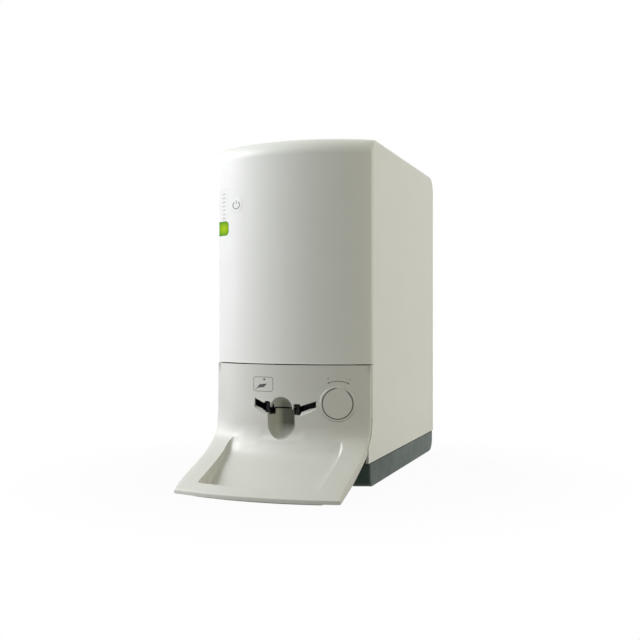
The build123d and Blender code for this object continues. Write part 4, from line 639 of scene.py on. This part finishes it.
# %% Smooth the skins that show
shown = ("main_cover", "front_cover", "base_housing", "power_button", "status_lens", "knob_bezel",
         "selector_knob", "left_plate_guide", "right_plate_guide", "rubber_feet", "rear_panel")
skins = {node: smooth_skin(node) for node in shown}
skins["tray_panel"] = smooth_skin("tray_panel", 28.0, soften_crease)
print("smooth skins:", {node: len(piece.data.polygons) for node, piece in skins.items()})

# %% [markdown]
# ## Printed marks
# The marks are thin ink, pad printed on the curved front. Each is drawn flat with bmesh operators, seen from the
# front, and then every point is moved back until it meets the skin, so the ink follows the bow. A texture could
# hold the ink too, but a mesh stays sharp at any distance.

# %% Lay a flat mark on a skin
ink_lift = 0.00005
ink_thick = 0.00004
upright_turn = Matrix.Rotation(math.pi / 2, 3, "X")
skin_trees = {}


def skin_tree(node):
    if node not in skin_trees:
        form = bmesh.new()
        form.from_mesh(frame["nodes"][node].data)
        skin_trees[node] = BVHTree.FromBMesh(form)
        form.free()
    return skin_trees[node]


def ink(form, name, node, finish, place):
    """Move a flat mark, drawn about the origin in the upright plane, to a place on a skin."""
    bmesh.ops.translate(form, verts=form.verts, vec=(place[0], 0.0, place[1]))
    for vert in form.verts:
        meets = skin_tree(node).ray_cast(Vector((vert.co.x, in_front_y, vert.co.z)), backward)[0]
        vert.co.y = meets.y - ink_lift
    bmesh.ops.recalc_face_normals(form, faces=form.faces)
    if form.faces[:][0].normal.y > 0.0:
        bmesh.ops.reverse_faces(form, faces=form.faces)
    bmesh.ops.solidify(form, geom=form.faces[:], thickness=ink_thick)
    bmesh.ops.recalc_face_normals(form, faces=form.faces)
    return seated(form, name, body_of[node], finish)


def ring_band(radius, width, start, end, steps=40):
    """A part of a ring, from one clock angle to another, made by spinning a short edge."""
    form = bmesh.new()
    inner = form.verts.new((0.0, 0.0, radius - width / 2))
    outer = form.verts.new((0.0, 0.0, radius + width / 2))
    edge = form.edges.new((inner, outer))
    turn_in = Matrix.Rotation(math.radians(start), 3, "Y")
    bmesh.ops.rotate(form, verts=form.verts, cent=(0.0, 0.0, 0.0), matrix=turn_in)
    bmesh.ops.spin(
        form, geom=[inner, outer, edge], cent=(0.0, 0.0, 0.0), axis=(0.0, -1.0, 0.0),
        angle=math.radians(start - end), steps=steps)
    bmesh.ops.remove_doubles(form, verts=form.verts, dist=0.000001)
    return form


def plate(width, height, cuts=1):
    """A flat upright plate about the origin, cut across its width."""
    form = bmesh.new()
    bmesh.ops.create_grid(form, x_segments=cuts, y_segments=1, size=0.5)
    bmesh.ops.scale(form, verts=form.verts, vec=(width, height, 1.0))
    bmesh.ops.rotate(form, verts=form.verts, cent=(0.0, 0.0, 0.0), matrix=upright_turn)
    return form


def upright_disc(segments, radius):
    """A flat round, or with few sides a flat arrow head, in the upright plane."""
    form = bmesh.new()
    bmesh.ops.create_circle(form, cap_ends=True, segments=segments, radius=radius)
    bmesh.ops.rotate(form, verts=form.verts, cent=(0.0, 0.0, 0.0), matrix=upright_turn)
    return form


def turned(form, degrees):
    """Turn a flat mark within the upright plane."""
    matrix = Matrix.Rotation(math.radians(degrees), 3, "Y")
    bmesh.ops.rotate(form, verts=form.verts, cent=(0.0, 0.0, 0.0), matrix=matrix)
    return form


def round_frame(width, height, corner, stroke, segments=28):
    """The outline of a plate with rounded corners, as a band: a ring whose quarters are pulled apart."""
    form = bmesh.new()
    bmesh.ops.create_circle(form, cap_ends=True, segments=segments, radius=corner)
    half_step = Matrix.Rotation(math.pi / segments, 3, "Z")
    bmesh.ops.rotate(form, verts=form.verts, cent=(0.0, 0.0, 0.0), matrix=half_step)
    bmesh.ops.rotate(form, verts=form.verts, cent=(0.0, 0.0, 0.0), matrix=upright_turn)
    for vert in form.verts:
        vert.co.x += math.copysign(width / 2 - corner, vert.co.x)
        vert.co.z += math.copysign(height / 2 - corner, vert.co.z)
    bmesh.ops.inset_region(form, faces=form.faces[:], thickness=stroke, use_boundary=True, use_even_offset=True)
    middle = max(form.faces, key=lambda face: face.calc_area())
    bmesh.ops.delete(form, geom=[middle], context="FACES_ONLY")
    long_edges = [edge for edge in form.edges if edge.calc_length() > 0.2 * min(width, height)]
    bmesh.ops.subdivide_edges(form, edges=long_edges, cuts=12, use_grid_fill=True)
    return form


ink_tints = {
    "ink_grey": ((0.075, 0.08, 0.075), (0.065, 0.07, 0.065)),
    "ink_faint": ((0.66, 0.66, 0.66), (0.64, 0.64, 0.64)),
    "ink_pale": ((0.17, 0.17, 0.17), (0.15, 0.15, 0.15)),
}
for tint_name, (tint, shade) in ink_tints.items():
    finishes[tint_name] = moulded(tint_name, tint, shade, 0.5, 2600.0, 0.000005, 0.05, 0.1)
print("ink is", ink_thick * 1000, "mm thick")

# %% The mark for on and off, on the round button
button_low, button_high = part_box("power_button")
button_middle = (-0.0582, 0.2874)
bar_middle = (button_middle[0], button_middle[1] + 0.0029)
power_ring = ring_band(0.0037, 0.0009, 32.0, 328.0)
bmesh.ops.scale(power_ring, vec=(1.22, 1.0, 1.0), verts=power_ring.verts)
ink(power_ring, "power_mark_ring", "power_button", "ink_pale", button_middle)
ink(plate(0.0008, 0.0043), "power_mark_bar", "power_button", "ink_pale", bar_middle)
print("button spans", [round(v, 4) for v in (*button_low, *button_high)])

# %% [markdown]
# ### How to load a plate, and the selector's scale
# A small framed drawing left of the slot shows a plate on its way in. The selector has an arc with two arrow heads
# and plain numbers for the plate sizes. The numbers are text made into a mesh, and then laid on like the rest.

# %% The framed drawing
picture = (-0.0233, 0.1044)
ink(round_frame(0.0226, 0.0148, 0.0026, 0.00045), "picture_frame", "tray_panel", "ink_grey", picture)
slanted = plate(0.0085, 0.0036, 8)
shear_by = Matrix(((1.0, 0.0, 0.9), (0.0, 1.0, 0.0), (0.12, 0.0, 1.0)))
bmesh.ops.transform(slanted, matrix=shear_by.to_4x4(), verts=slanted.verts)
ink(slanted, "picture_plate", "tray_panel", "ink_grey", (picture[0] - 0.0015, picture[1] - 0.0016))
ink(upright_disc(16, 0.0011), "picture_dot", "tray_panel", "ink_grey", (picture[0] + 0.0014, picture[1] + 0.0049))
stroke = turned(plate(0.0042, 0.0005, 4), -32.0)
ink(stroke, "picture_stroke", "tray_panel", "ink_grey", (picture[0] - 0.0072, picture[1] - 0.0043))
print("picture at", picture)

# %% The selector's arc, arrow heads and numbers
knob_middle = (0.0535, 0.0863)
arc_radius = 0.0222
arc_ends = (-23.5, 26.0)
ink(ring_band(arc_radius, 0.0006, *arc_ends), "scale_arc", "tray_panel", "ink_grey", knob_middle)
for label, clock, outward in (("low", arc_ends[0], -1.0), ("high", arc_ends[1], 1.0)):
    head = turned(upright_disc(3, 0.0011), clock + 90.0 * outward)
    head_x = knob_middle[0] + math.sin(math.radians(clock)) * arc_radius
    head_z = knob_middle[1] + math.cos(math.radians(clock)) * arc_radius
    ink(head, "scale_head_" + label, "tray_panel", "ink_grey", (head_x, head_z))


def number(text, name, place, height):
    letters = bpy.data.curves.new(name, "FONT")
    letters.body = text
    letters.size = height * 1.4
    letters.align_x = "CENTER"
    letters.align_y = "CENTER"
    holder = bpy.data.objects.new(name, letters)
    flat = bpy.data.meshes.new_from_object(holder)
    bpy.data.objects.remove(holder)
    form = bmesh.new()
    form.from_mesh(flat)
    bmesh.ops.rotate(form, verts=form.verts, cent=(0.0, 0.0, 0.0), matrix=upright_turn)
    return ink(form, name, "tray_panel", "ink_grey", place)


for text, place in (("0", (0.0446, 0.1112)), ("1", (0.0622, 0.1103)), ("2", (0.0650, 0.1100))):
    number(text, "scale_number_" + text, place, 0.0019)
print("scale from", arc_ends[0], "to", arc_ends[1], "degrees")

# %% The window line round the level bars
bars_low, bars_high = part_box("level_light_pipe")
window_over, window_under = 0.0042, 0.0010
window_high = bars_high[2] - bars_low[2] + window_over + window_under
bars_middle = (-0.0759, (bars_low[2] + bars_high[2] + window_over - window_under) / 2)
ink(round_frame(0.0114, window_high, 0.0022, 0.0003), "level_window", "front_cover", "ink_faint", bars_middle)
print("level bars at", [round(v, 4) for v in bars_middle])
